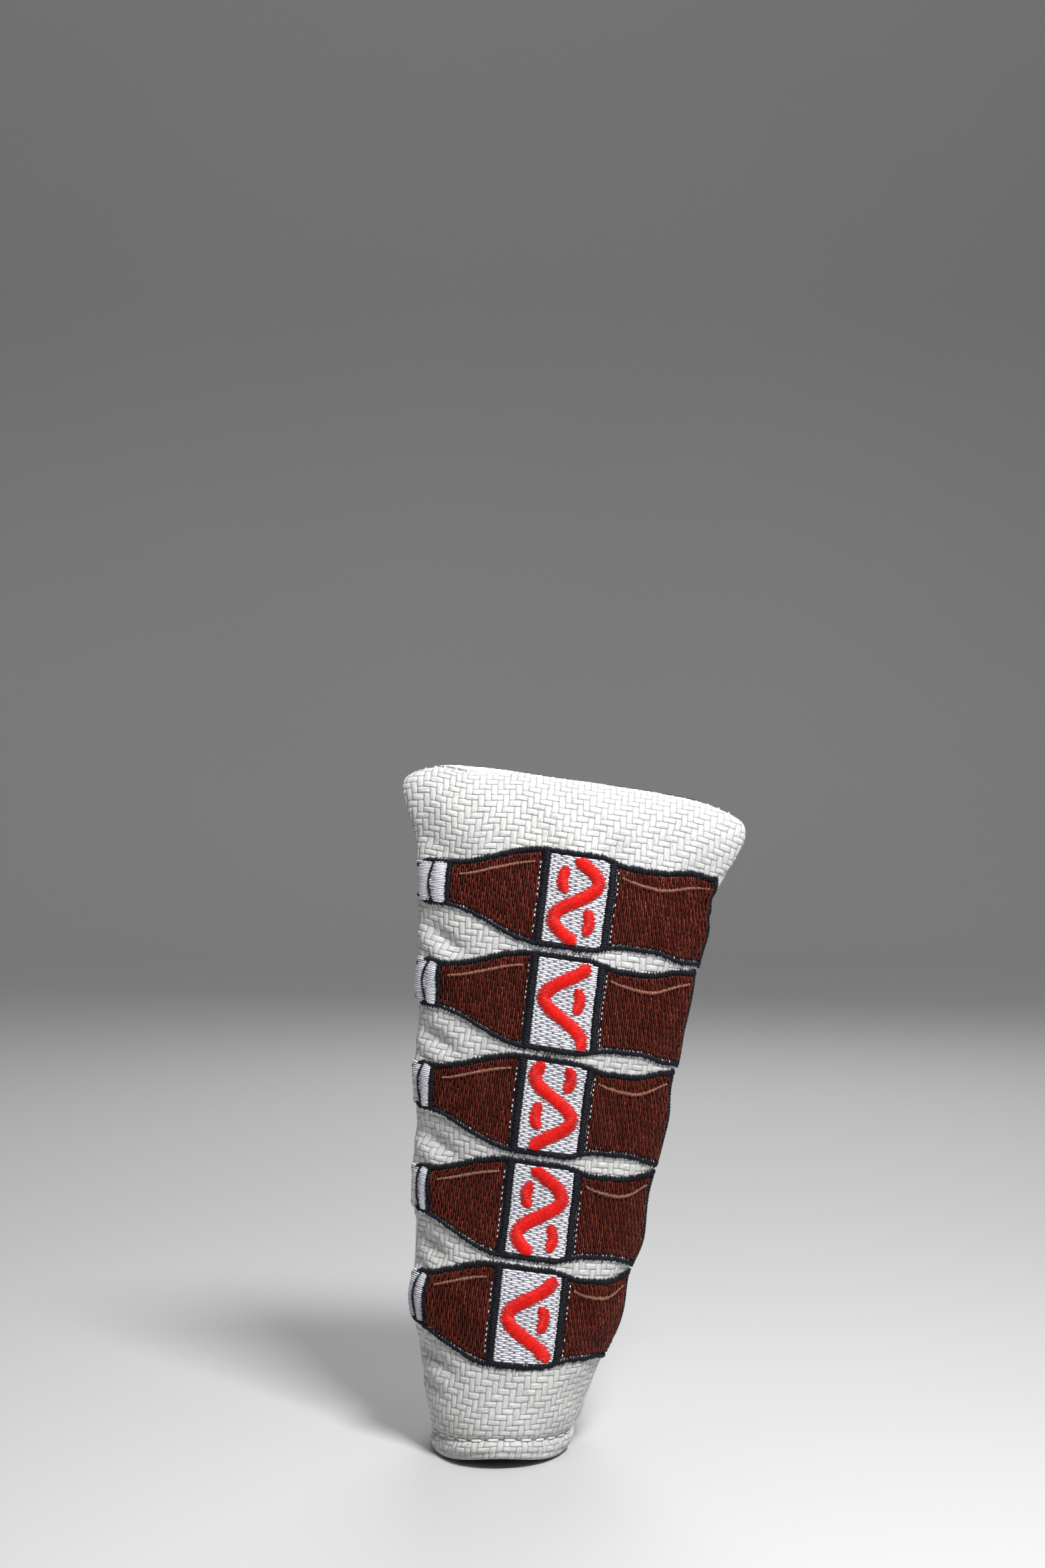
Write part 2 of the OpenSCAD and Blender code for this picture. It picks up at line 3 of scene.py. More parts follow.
import bpy
import numpy as np
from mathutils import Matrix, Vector


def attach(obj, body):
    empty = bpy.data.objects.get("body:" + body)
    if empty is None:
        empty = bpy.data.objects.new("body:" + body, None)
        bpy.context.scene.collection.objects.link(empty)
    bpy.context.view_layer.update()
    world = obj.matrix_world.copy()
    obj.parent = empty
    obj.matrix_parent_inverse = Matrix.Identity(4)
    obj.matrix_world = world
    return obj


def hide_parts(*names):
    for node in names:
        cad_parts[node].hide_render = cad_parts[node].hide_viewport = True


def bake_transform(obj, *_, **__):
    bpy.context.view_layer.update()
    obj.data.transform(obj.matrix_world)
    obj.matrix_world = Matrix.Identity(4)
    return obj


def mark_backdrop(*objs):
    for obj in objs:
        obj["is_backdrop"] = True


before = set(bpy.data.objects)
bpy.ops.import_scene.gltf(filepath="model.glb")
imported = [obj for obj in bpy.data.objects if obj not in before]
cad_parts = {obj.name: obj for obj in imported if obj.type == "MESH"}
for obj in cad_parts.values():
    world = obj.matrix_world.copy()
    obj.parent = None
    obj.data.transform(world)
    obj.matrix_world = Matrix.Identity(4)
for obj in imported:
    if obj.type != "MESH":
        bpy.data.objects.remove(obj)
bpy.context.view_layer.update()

MM = 0.001
FRONT = -1
BACK = 1

# ---- Sizes, in millimetres and degrees ----

COVER_LEN = 146.5
LEAN = 6.65
TOP_TILT = 8.4
TILT_HEIGHT = 45
BASE_WIDTH = 38.8
TOP_WIDTH = 70.4
MOUTH_PINCH = 4.4
PINCH_HEIGHT = 34
EAR_FLARE = 4
EAR_HEIGHT = 20
CORNER_DROOP = 3.5
MOUTH_DEPTH = 40
BODY_DEPTH = 23
DEPTH_HEIGHT = 60
SHOULDER_POWER = 14
HEM_ARCH = 2.2
SEAM_GAP = 0.3
SEAM_FORWARD = 12
SEAM_BEHIND = 6
SEAM_HEIGHT = 50
LEATHER = 1.1
LAYER_GAP = 0.25
BACKING = 0.35
FOAM = 2.3
PLUSH = 1.2
LINING_START = 3
PADDING_START = 6
HEM_STITCH = 4.6
HEM_PITCH = 3.8
LOWEST_BOTTLE = 31.5
BOTTLE_PITCH = 22.3
BOTTLES = 5
CAP_RADIUS = 4.4
LABEL_RADIUS = 9.65
WAIST_DIP = 1.5
CAP_EDGE = -25.3
CAP_STEP = 0.28        # the caps reach further to the front on the lower, narrower bottles
LEFT_BAND = -4.8
RIGHT_BAND = 9.8
BAND_WIDTH = 2.0
LABEL_PLACE = 2.5
OUTLINE = 1.2
ART_MARGIN = 2.2
WAVE_LEN = 17
RIBBON = 2.8
FLAP_START = 1.2
FLAP_LEN = 64
FLAP_END = FLAP_START + FLAP_LEN
HINGE_ANGLE = -20
FREE_ANGLE = 59
TONGUE_ANGLE = 15
TONGUE_HEIGHT = 22
FLAP_CORNER = 6
FLAP_GAP = 0.5
FACING = 0.5
FLAP_FOOT = -2.69
FLAP_TOP = -3.79
STRIP_ANGLE = 20.6
STRIP_WIDTH = 6
STRIP_GAP = 0.18
MAGNET_D = 7
MAGNET_ANGLE = 37
MAGNET_STATIONS = (15.2, 49.2)
MAGNET_DEPTH = 2.48
SLIT_FROM = 0.5
SLIT_TO = 7.5
SLIT_END = FLAP_END - 6

BACKING_DEPTH = LEATHER + LAYER_GAP
FRONT_FOAM_DEPTH = BACKING_DEPTH + BACKING + LAYER_GAP
BACK_FOAM_DEPTH = LEATHER + LAYER_GAP
FRONT_LINING_DEPTH = FRONT_FOAM_DEPTH + FOAM + LAYER_GAP
BACK_LINING_DEPTH = BACK_FOAM_DEPTH + FOAM + LAYER_GAP
LEFT_CORNER = 4.2      # radius of the rounded left ear
RIGHT_CORNER = 2.8     # and of the sharper right one
TWILL = 1.36           # width of one strand of the woven leather
WEAVE_RELIEF = 0.13
SINK = 0.25            # how far the leather's middle lies below the plain shape
HEM_FOLD = 1.3         # radius of the fold at the bottom edge
HEM_FOLD_DEPTH = 1.05  # how deep the fold's middle lies
HEM_TURN = 5.6         # height of the hem turned in
HEM_CLOTH = 4          # leather that goes round the fold
WAVE_REACH = 4.5       # half the width of the labels' wave
LEAF_HALF = 2.6
LEAF_WIDTH = 2.5
SATIN_PITCH = 0.36
FLAP_PITCH = 2.6       # of the stitches of the flap and its strip
FLAP_ROW = 2.0         # from the flap's free edge in to its row of stitches
STRIP_ROWS = (0.4, 0.8)  # places of the strip's two seams across its width
FLAP_LEAVES = 6
FLAP_LEAF_HALF = 2.2
SEAM_THREAD = 0.2      # radius of a sewing thread
RECESS_GAP = 0.3


# ---- Shape of the cover ----

def smooth(t):
    c = np.clip(t, 0, 1)
    return c * c * (3 - 2 * c)


def half_width(w):
    straight = BASE_WIDTH / 2 + (TOP_WIDTH - BASE_WIDTH) / 2 * w / COVER_LEN
    pinch = MOUTH_PINCH * (1 - smooth(w / PINCH_HEIGHT))
    ear = EAR_FLARE * smooth((w - COVER_LEN + EAR_HEIGHT) / (0.85 * EAR_HEIGHT))
    return straight - pinch + ear


def open_depth(w):
    return BODY_DEPTH / 2 + (MOUTH_DEPTH - BODY_DEPTH) / 2 * (1 - smooth(w / DEPTH_HEIGHT))


def half_depth(w):
    share = np.clip(w / COVER_LEN, 0, 1)
    return open_depth(w) * np.sqrt(np.maximum(0, 1 - share ** SHOULDER_POWER))


def layer_end(depth):
    inner = (depth + 0.2) / (BODY_DEPTH / 2)
    return COVER_LEN * (1 - inner ** 2) ** (1 / SHOULDER_POWER) if depth > 0 else COVER_LEN


def seam_angle(w):
    late = smooth((w - SEAM_HEIGHT) / (COVER_LEN - SEAM_HEIGHT))
    return SEAM_FORWARD - (SEAM_FORWARD + SEAM_BEHIND) * smooth(w / SEAM_HEIGHT) + SEAM_BEHIND * late


def place(x, y, w):
    tilt = np.radians(TOP_TILT * smooth(w / TILT_HEIGHT))
    lean = math.radians(LEAN)
    along = w * math.sin(lean) + x * np.cos(tilt)
    up = w * math.cos(lean) - x * np.sin(tilt)
    return np.stack(np.broadcast_arrays(along, y, up), -1)


def skin(half, w, angle, depth):
    """The point at station w and angle round one half, at a depth below the outer surface."""
    a = np.radians(angle)
    x = (half_width(w) - depth) * np.sin(a)
    y = half * (SEAM_GAP / 2 + np.maximum(0, half_depth(w) - depth) * np.cos(a))
    droop = CORNER_DROOP * np.abs(np.sin(a)) ** 5 * smooth((w / COVER_LEN - 0.75) / 0.25)
    p = place(x, y, w - droop)
    if half == FRONT:
        p[..., 2] += HEM_ARCH * np.cos(a) ** 4 * (1 - smooth(w / 14))
    return p


# Arc lengths round the cover, tabled by station and angle
ARC_STEPS = 230
ARC_LIMIT = 115.0
arc_w = np.linspace(0, COVER_LEN, 294)
arc_a = np.linspace(0, ARC_LIMIT, ARC_STEPS + 1)
_a, _b = half_width(arc_w)[:, None], half_depth(arc_w)[:, None]
_r = np.radians(arc_a)[None, :]
_pieces = np.hypot(_a * np.diff(np.sin(_r)), _b * np.diff(np.cos(_r)))
arc_table = np.concatenate([np.zeros((len(arc_w), 1)), np.cumsum(_pieces, 1)], 1)
arc_share = np.linspace(0, 1, ARC_STEPS + 1)
angle_table = np.array([np.interp(arc_share * row[-1], row, arc_a) for row in arc_table])


def lookup(table, w, column):
    """Reads a table between its rows and columns."""
    w, column = np.broadcast_arrays(np.asarray(w, float), np.asarray(column, float))
    row = np.clip(w / COVER_LEN, 0, 1) * (len(table) - 1)
    r0 = np.minimum(row.astype(int), len(table) - 2)
    c0 = np.clip(column.astype(int), 0, table.shape[1] - 2)
    fr, fc = row - r0, column - c0
    low = table[r0, c0] * (1 - fc) + table[r0, c0 + 1] * fc
    high = table[r0 + 1, c0] * (1 - fc) + table[r0 + 1, c0 + 1] * fc
    return low * (1 - fr) + high * fr


def arc_at(w, angle):
    angle = np.asarray(angle, float)
    return np.sign(angle) * lookup(arc_table, w, np.abs(angle) / ARC_LIMIT * ARC_STEPS)


def angle_at(w, s):
    s = np.asarray(s, float)
    whole = np.interp(w, arc_w, arc_table[:, -1])
    return np.sign(s) * lookup(angle_table, w, np.abs(s) / whole * ARC_STEPS)


def panel_half(w, half=FRONT):
    return arc_at(w, 90 + half * seam_angle(w))


# ---- Softness: the same slow ripples move a panel and all that is sewn on it ----

def ripple(p, scale, seed, count=20):
    """Smooth noise of about unit size at points p, with bumps about as wide as scale."""
    rng = np.random.default_rng(seed)
    total = np.zeros(p.shape[:-1])
    for _ in range(count):
        direction = rng.normal(size=p.shape[-1])
        direction *= rng.uniform(0.6, 1.4) / np.linalg.norm(direction) * 2 * math.pi / scale
        total += np.sin(p @ direction + rng.uniform(0, 2 * math.pi))
    return total / math.sqrt(count / 2)


def bump(x, middle, half):
    return np.exp(-((x - middle) / half) ** 2)


def bottle_station(i):
    return LOWEST_BOTTLE + (BOTTLES - 1 - i) * BOTTLE_PITCH


def puff(half, w, s, edge):
    """How far the leather stands out from the plain shape at station w and arc length s."""
    w, s = np.broadcast_arrays(np.asarray(w, float), np.asarray(s, float))
    p = np.stack([s, w + 400 * (half > 0)], -1)
    out = 0.22 * ripple(p, 26, 11) + 0.12 * ripple(p, 11, 12)
    if half == FRONT:
        # The leather sinks and creases between the necks, beside the left seam
        for i in range(BOTTLES):
            low = bottle_station(i) - BOTTLE_PITCH / 2
            slant = w - low + 0.35 * (s + edge)
            out -= 1.35 * bump(slant, 2.5, 2.1) * bump(s, -edge + 9, 5.5)
            out -= 0.6 * bump(slant, -3.5, 1.5) * bump(s, -edge + 6, 4)
            out += 0.4 * bump(w, bottle_station(i), 6) * bump(s, -edge + 5, 6)
        # Creases that run down from the right ear
        for at, deep in ((129, 0.75), (124, 0.5), (134.5, 0.55)):
            line = w - at - 0.9 * (s - edge)
            out -= deep * bump(line, 0, 1.5) * bump(s, edge - 6, 5)
        out -= 0.35 * bump(w + 0.55 * (s + edge), 134, 2.0) * bump(s, -edge + 6, 5)
        out += 0.35 * bump(w, COVER_LEN - 8, 7) * bump(s, 0, 34)
    else:
        out += 0.25 * bump(w, 30, 30)
    # The hem's stitch line pulls the leather in, and the band below it rolls out
    fade = smooth((edge - np.abs(s)) / 3)
    out -= 0.85 * bump(w, HEM_STITCH, 0.7) * fade
    out += 0.5 * bump(w, 2.1, 1.7)
    out += 0.3 * bump(w, HEM_STITCH + 4.5, 3.2)
    # Seams pull the edges in
    to_seam = edge - np.abs(s)
    out -= 1.5 * np.exp(-(np.maximum(to_seam, 0) / 0.9) ** 2)
    out += 0.3 * bump(to_seam, 3.2, 2.2)
    to_top = COVER_LEN - w
    out -= 1.0 * np.exp(-(np.maximum(to_top, 0) / 0.35) ** 2)
    corner = np.where(s < 0, LEFT_CORNER, RIGHT_CORNER)
    round_off = corner - np.sqrt(np.maximum(0, corner ** 2 - np.clip(corner - to_top, 0, corner) ** 2))
    out -= round_off * smooth((np.abs(s) / edge - 0.7) / 0.3)
    # The swells and dents are centred a little below the plain shape
    return out - SINK


def on_front(w, s, lift=0.0):
    """A point on the front panel's real surface, lifted off it."""
    out = puff(FRONT, w, s, panel_half(w))
    return skin(FRONT, w, angle_at(w, s), -(out + lift))


def on_back(w, s, lift=0.0):
    out = puff(BACK, w, s, panel_half(w, BACK))
    return skin(BACK, w, angle_at(w, s), -(out + lift))


# ---- Meshes ----

def make_object(name, verts, faces, attributes=None, smooth_faces=True):
    """A mesh object from points in millimetres, with named attributes for its material."""
    mesh = bpy.data.meshes.new(name)
    verts = np.asarray(verts, float).reshape(-1, 3)
    faces = [f for f in faces if len(f)]
    mesh.vertices.add(len(verts))
    mesh.vertices.foreach_set("co", (verts * MM).astype(np.float32).ravel())
    loops = np.concatenate([f.ravel() for f in faces])
    sizes = np.concatenate([np.full(len(f), f.shape[1]) for f in faces])
    starts = np.concatenate([[0], np.cumsum(sizes)[:-1]])
    mesh.loops.add(len(loops))
    mesh.loops.foreach_set("vertex_index", loops.astype(np.int32))
    mesh.polygons.add(len(sizes))
    mesh.polygons.foreach_set("loop_start", starts.astype(np.int32))
    mesh.update(calc_edges=True)
    mesh.validate()
    for key, values in (attributes or {}).items():
        values = np.asarray(values, np.float32).reshape(len(verts), -1)
        kind, field = ("FLOAT", "value") if values.shape[1] == 1 else ("FLOAT_VECTOR", "vector")
        layer = mesh.attributes.new(key, kind, "POINT")
        layer.data.foreach_set(field, values.ravel())
    mesh.polygons.foreach_set("use_smooth", np.full(len(mesh.polygons), smooth_faces))
    mesh.update()
    obj = bpy.data.objects.new(name, mesh)
    bpy.context.scene.collection.objects.link(obj)
    return obj


def grid_faces(nu, nv, start=0, flip=False, keep=None):
    i, j = np.meshgrid(np.arange(nu - 1), np.arange(nv - 1), indexing="ij")
    if keep is not None:
        i, j = i[keep], j[keep]
    i, j = i.ravel(), j.ravel()
    quads = np.stack([i * nv + j, (i + 1) * nv + j, (i + 1) * nv + j + 1, i * nv + j + 1], 1) + start
    return quads[:, ::-1] if flip else quads


def shell(name, outer, inner, cloth, flip=False, keep=None, steps=3, bulge=0.5):
    """A closed sheet between two grids of points, with rounded edges.
    cloth holds each outer point's place on the flat cloth, and keep marks the cells that aren't cut out."""
    nu, nv = outer.shape[:2]
    n = nu * nv
    verts = [outer.reshape(-1, 3), inner.reshape(-1, 3)]
    flat = [cloth.reshape(-1, 3), cloth.reshape(-1, 3)]
    if keep is None:
        keep = np.ones((nu - 1, nv - 1), bool)
    faces = [grid_faces(nu, nv, 0, flip, keep), grid_faces(nu, nv, n, not flip, keep)]
    # Boundary edges of the kept cells, walked so that each rim quad faces out
    padded = np.zeros((nu + 1, nv + 1), bool)
    padded[1:-1, 1:-1] = keep
    edges = []
    i, j = np.nonzero(keep)
    for di, dj, a, b in ((0, -1, (0, 0), (1, 0)), (1, 0, (1, 0), (1, 1)),
                         (0, 1, (1, 1), (0, 1)), (-1, 0, (0, 1), (0, 0))):
        open_side = ~padded[i + 1 + di, j + 1 + dj]
        ii, jj = i[open_side], j[open_side]
        p = (ii + a[0]) * nv + jj + a[1]
        q = (ii + b[0]) * nv + jj + b[1]
        away = ((ii - di) + a[0]) * nv + (jj - dj) + a[1]
        inward = np.clip(away, 0, n - 1)
        edges.append(np.stack([p, q, inward], 1))
    edges = np.concatenate(edges)
    rim_points, where = np.unique(edges[:, :2], return_inverse=True)
    where = where.reshape(-1, 2)
    top = verts[0][rim_points]
    bottom = verts[1][rim_points]
    thick = np.linalg.norm(top - bottom, axis=1, keepdims=True)
    push = np.zeros_like(top)
    for column in (0, 1):
        step = verts[0][edges[:, column]] - verts[0][edges[:, 2] + (edges[:, column] - edges[:, 0])]
        np.add.at(push, where[:, column], step)
    push /= np.maximum(np.linalg.norm(push, axis=1, keepdims=True), 1e-9)
    count = 2 * n
    rings = [rim_points]
    for k in range(1, steps + 1):
        t = k / (steps + 1)
        verts.append(top * (1 - t) + bottom * t + push * thick * bulge * math.sin(math.pi * t))
        flat.append(flat[0][rim_points])
        rings.append(np.arange(count, count + len(rim_points)))
        count += len(rim_points)
    rings.append(rim_points + n)
    for k in range(steps + 1):
        a, b = rings[k], rings[k + 1]
        rim = np.stack([a[where[:, 0]], b[where[:, 0]], b[where[:, 1]], a[where[:, 1]]], 1)
        faces.append(rim[:, ::-1] if flip else rim)
    verts = np.concatenate(verts)
    flat = np.concatenate(flat)
    used = np.unique(np.concatenate([f.ravel() for f in faces]))
    new = np.full(len(verts), -1)
    new[used] = np.arange(len(used))
    return make_object(name, verts[used], [new[f] for f in faces], {"cloth": flat[used]})


def strands(start, end, up, width, height, rings=3, sides=6, seed=5):
    """Points, faces and attributes of many short threads, each a closed spindle from start to end."""
    start, end, up = (np.asarray(a, float).reshape(-1, 3) for a in (start, end, up))
    n = len(start)
    width = np.broadcast_to(np.asarray(width, float), (n,))
    height = np.broadcast_to(np.asarray(height, float), (n,))
    along = end - start
    length = np.linalg.norm(along, axis=1, keepdims=True)
    along = along / np.maximum(length, 1e-6)
    across = np.cross(along, up)
    across /= np.maximum(np.linalg.norm(across, axis=1, keepdims=True), 1e-9)
    up = np.cross(across, along)
    places = (np.arange(rings) + 0.5) / rings
    places = 0.5 + (places - 0.5) * (rings / (rings - 1)) * 0.8
    turn = np.linspace(0, 2 * math.pi, sides, endpoint=False)
    points = [start[:, None, :], end[:, None, :]]
    tag = np.random.default_rng(seed).uniform(size=n)
    info = [np.stack([np.zeros(n), np.zeros(n), tag], -1)[:, None, :],
            np.stack([length[:, 0], np.zeros(n), tag], -1)[:, None, :]]
    for t in places:
        full = math.sin(math.pi * t) ** 0.35
        lift = height * (math.sin(math.pi * t) ** 0.6 - 0.35)
        middle = start + along * length * t + up * lift[:, None]
        ring = (middle[:, None, :]
                + across[:, None, :] * (np.cos(turn)[None, :, None] * width[:, None, None] / 2 * full)
                + up[:, None, :] * (np.sin(turn)[None, :, None] * height[:, None, None] / 2 * full))
        points.append(ring)
        info.append(np.stack(np.broadcast_arrays(
            (length[:, 0] * t)[:, None], (np.cos(turn) * 0.5)[None, :], tag[:, None]), -1))
    points = np.concatenate(points, 1)
    info = np.concatenate(info, 1)
    per = points.shape[1]
    base = (np.arange(n) * per)[:, None]
    k = np.arange(sides)
    nxt = (k + 1) % sides
    last = 2 + (rings - 1) * sides
    tris = [np.stack([np.zeros(sides, int), 2 + nxt, 2 + k], 1),
            np.stack([np.ones(sides, int), last + k, last + nxt], 1)]
    quads = []
    for r in range(rings - 1):
        a = 2 + r * sides
        b = a + sides
        quads.append(np.stack([a + k, a + nxt, b + nxt, b + k], 1))
    tris = (np.concatenate(tris)[None] + base[:, :, None]).reshape(-1, 3)
    quads = (np.concatenate(quads)[None] + base[:, :, None]).reshape(-1, 4)
    return points.reshape(-1, 3), [tris, quads], info.reshape(-1, 3)


def merge(name, parts):
    """One object from several (points, faces, info) parts."""
    verts, faces, info = [], [], []
    count = 0
    for p, f, a in parts:
        verts.append(p)
        info.append(a)
        faces += [g + count for g in f if len(g)]
        count += len(p)
    return make_object(name, np.concatenate(verts), faces, {"cloth": np.concatenate(info)})


def rim(nu, nv):
    """The points round a grid's edge, and the point after each."""
    loop = np.concatenate([np.arange(0, nu) * nv, (nu - 1) * nv + np.arange(1, nv),
                           np.arange(nu - 2, -1, -1) * nv + nv - 1, np.arange(nv - 2, 0, -1)])
    return loop, np.roll(loop, -1)


def plate(surface, s, w, foot, top, tag=0.5):
    """A closed plate of thread underlay over a grid of places s, w on a surface."""
    nu, nv = s.shape
    upper = surface(w, s, top)
    lower = surface(w, s, foot)
    n = nu * nv
    faces = [grid_faces(nu, nv, 0), grid_faces(nu, nv, n, True)]
    loop, nxt = rim(nu, nv)
    faces.append(np.stack([loop, loop + n, nxt + n, nxt], 1))
    points = np.concatenate([upper.reshape(-1, 3), lower.reshape(-1, 3)])
    info = np.stack([w.ravel(), s.ravel(), np.full(n, tag)], -1)
    return points, faces, np.concatenate([info, info])


def normals_at(surface, w, s):
    step = 0.3
    across = surface(w, s + step) - surface(w, s - step)
    along = surface(w + step, s) - surface(w - step, s)
    n = np.cross(across, along)
    n /= np.maximum(np.linalg.norm(n, axis=-1, keepdims=True), 1e-9)
    return n if surface is on_front else -n


def satin(surface, s0, w0, s1, w1, width=0.42, height=0.3, lift=0.2, jag=0.22, seed=1):
    """Satin stitches: threads side by side from (s0, w0) to (s1, w1), with uneven ends."""
    rng = np.random.default_rng(seed)
    n = len(s0)
    ds, dw = s1 - s0, w1 - w0
    length = np.maximum(np.hypot(ds, dw), 1e-6)
    a = rng.uniform(-0.3, 1, n) * jag / length
    b = rng.uniform(-0.3, 1, n) * jag / length
    a = np.where(np.arange(n) % 2, a + 0.5 * jag / length, a)
    b = np.where(np.arange(n) % 2, b, b + 0.5 * jag / length)
    ss, ws = s0 - ds * a, w0 - dw * a
    se, we = s1 + ds * b, w1 + dw * b
    start = surface(ws, ss, lift - 0.12)
    end = surface(we, se, lift - 0.12)
    middle = surface((ws + we) / 2, (ss + se) / 2, lift)
    up = normals_at(surface, (ws + we) / 2, (ss + se) / 2)
    rise = np.maximum(((middle - (start + end) / 2) * up).sum(-1), 0)
    return strands(start, end, up, width, height + rise * 1.1, rings=4, seed=seed)


def fill(surface, inside, s_range, w_range, along_w, pitch=0.4, stitch=3.4, lift=0.3, seed=2,
         width=0.44, height=0.26, gap=0.06, loose=0.9):
    """Fill stitches in rows. inside(s, w) is true where the shape is. Each row starts half a stitch on."""
    rng = np.random.default_rng(seed)
    row_range, run_range = (s_range, w_range) if along_w else (w_range, s_range)
    rows = np.arange(row_range[0], row_range[1], pitch)
    starts, ends = [], []
    fine = 0.15
    for k, r in enumerate(rows):
        run = np.arange(run_range[0], run_range[1], fine)
        hit = inside(np.full_like(run, r), run) if along_w else inside(run, np.full_like(run, r))
        if not hit.any():
            continue
        change = np.diff(np.concatenate([[0], hit.astype(int), [0]]))
        for a, b in zip(np.nonzero(change > 0)[0], np.nonzero(change < 0)[0]):
            lo, hi = run[a], run[b - 1] + fine
            first = lo - stitch * ((k * 0.5) % 1) - rng.uniform(0, 1) * loose
            cuts = np.arange(first, hi, stitch) + rng.uniform(-0.15, 0.15)
            cuts = np.concatenate([[lo], cuts[(cuts > lo + 0.5) & (cuts < hi - 0.5)], [hi]])
            for p, q in zip(cuts[:-1], cuts[1:]):
                p, q = p + gap, q - gap
                starts.append((r, p))
                ends.append((r + rng.uniform(-0.04, 0.04), q))
    a, b = np.array(starts), np.array(ends)
    if not along_w:
        a, b = a[:, ::-1], b[:, ::-1]
    start = surface(a[:, 1], a[:, 0], lift - 0.05)
    end = surface(b[:, 1], b[:, 0], lift - 0.05)
    mid_s, mid_w = (a[:, 0] + b[:, 0]) / 2, (a[:, 1] + b[:, 1]) / 2
    up = normals_at(surface, mid_w, mid_s)
    rise = np.maximum(((surface(mid_w, mid_s, lift) - (start + end) / 2) * up).sum(-1), 0)
    return strands(start, end, up, width, height + rise * 0.9, rings=3, seed=seed)


# ---- Materials ----

class Wire:
    """An output socket of a node, with plain arithmetic."""

    def __init__(self, tree, socket):
        self.tree = tree
        self.socket = socket

    def math(self, operation, *others):
        node = self.tree.nodes.new("ShaderNodeMath")
        node.operation = operation
        for k, value in enumerate((self,) + others):
            if isinstance(value, Wire):
                self.tree.links.new(value.socket, node.inputs[k])
            else:
                node.inputs[k].default_value = value
        return Wire(self.tree, node.outputs[0])

    def __add__(self, other):
        return self.math("ADD", other)

    def __sub__(self, other):
        return self.math("SUBTRACT", other)

    def __mul__(self, other):
        return self.math("MULTIPLY", other)

    def __truediv__(self, other):
        return self.math("DIVIDE", other)

    def __rsub__(self, other):
        return (self * -1.0) + other

    __radd__ = __add__
    __rmul__ = __mul__

    def below(self, other):
        return self.math("LESS_THAN", other)

    def ramp(self, low, high):
        """0 below low and 1 above high, smoothly."""
        node = self.tree.nodes.new("ShaderNodeMapRange")
        node.interpolation_type = "SMOOTHSTEP"
        node.clamp = True
        self.tree.links.new(self.socket, node.inputs["Value"])
        node.inputs["From Min"].default_value = low
        node.inputs["From Max"].default_value = high
        return Wire(self.tree, node.outputs[0])


class Paint:
    """A Principled material being built."""

    def __init__(self, name, **constants):
        self.material = bpy.data.materials.new(name)
        self.material.use_nodes = True
        self.tree = self.material.node_tree
        self.shader = self.tree.nodes["Principled BSDF"]
        for key, value in constants.items():
            self.shader.inputs[key.replace("_", " ")].default_value = value

    def place(self, name="cloth"):
        """The piece's own flat coordinates, in millimetres."""
        node = self.tree.nodes.new("ShaderNodeAttribute")
        node.attribute_name = name
        split = self.tree.nodes.new("ShaderNodeSeparateXYZ")
        self.tree.links.new(node.outputs["Vector"], split.inputs[0])
        return [Wire(self.tree, split.outputs[k]) for k in range(3)] + [node.outputs["Vector"]]

    def noise(self, scale, stretch=(1, 1, 1), detail=3.0, vector=None, rough=0.55):
        """Noise over object space in metres, or over the given vector."""
        node = self.tree.nodes.new("ShaderNodeTexNoise")
        node.inputs["Scale"].default_value = scale
        node.inputs["Detail"].default_value = detail
        node.inputs["Roughness"].default_value = rough
        mapping = self.tree.nodes.new("ShaderNodeMapping")
        mapping.inputs["Scale"].default_value = stretch
        if vector is None:
            coords = self.tree.nodes.new("ShaderNodeTexCoord")
            vector = coords.outputs["Object"]
        self.tree.links.new(vector, mapping.inputs["Vector"])
        self.tree.links.new(mapping.outputs[0], node.inputs["Vector"])
        return Wire(self.tree, node.outputs["Fac"])

    def mix(self, share, low, high):
        """A colour between two, by a wire. Each colour is a triple or another mix."""
        node = self.tree.nodes.new("ShaderNodeMix")
        node.data_type = "RGBA"
        self.tree.links.new(share.socket, node.inputs["Factor"])
        for key, value in ((6, low), (7, high)):
            if isinstance(value, tuple):
                node.inputs[key].default_value = (*value, 1)
            else:
                self.tree.links.new(value, node.inputs[key])
        return node.outputs[2]

    def colour(self, socket):
        self.tree.links.new(socket, self.shader.inputs["Base Color"])

    def rough(self, wire):
        self.tree.links.new(wire.socket, self.shader.inputs["Roughness"])

    def bump(self, height, distance, strength=1.0):
        """Bump from a height of 0 to 1 that stands for distance in millimetres."""
        node = self.tree.nodes.new("ShaderNodeBump")
        node.inputs["Strength"].default_value = strength
        node.inputs["Distance"].default_value = distance * MM
        self.tree.links.new(height.socket, node.inputs["Height"])
        self.tree.links.new(node.outputs[0], self.shader.inputs["Normal"])

    def give(self, obj):
        obj.data.materials.clear()
        obj.data.materials.append(self.material)
        return obj


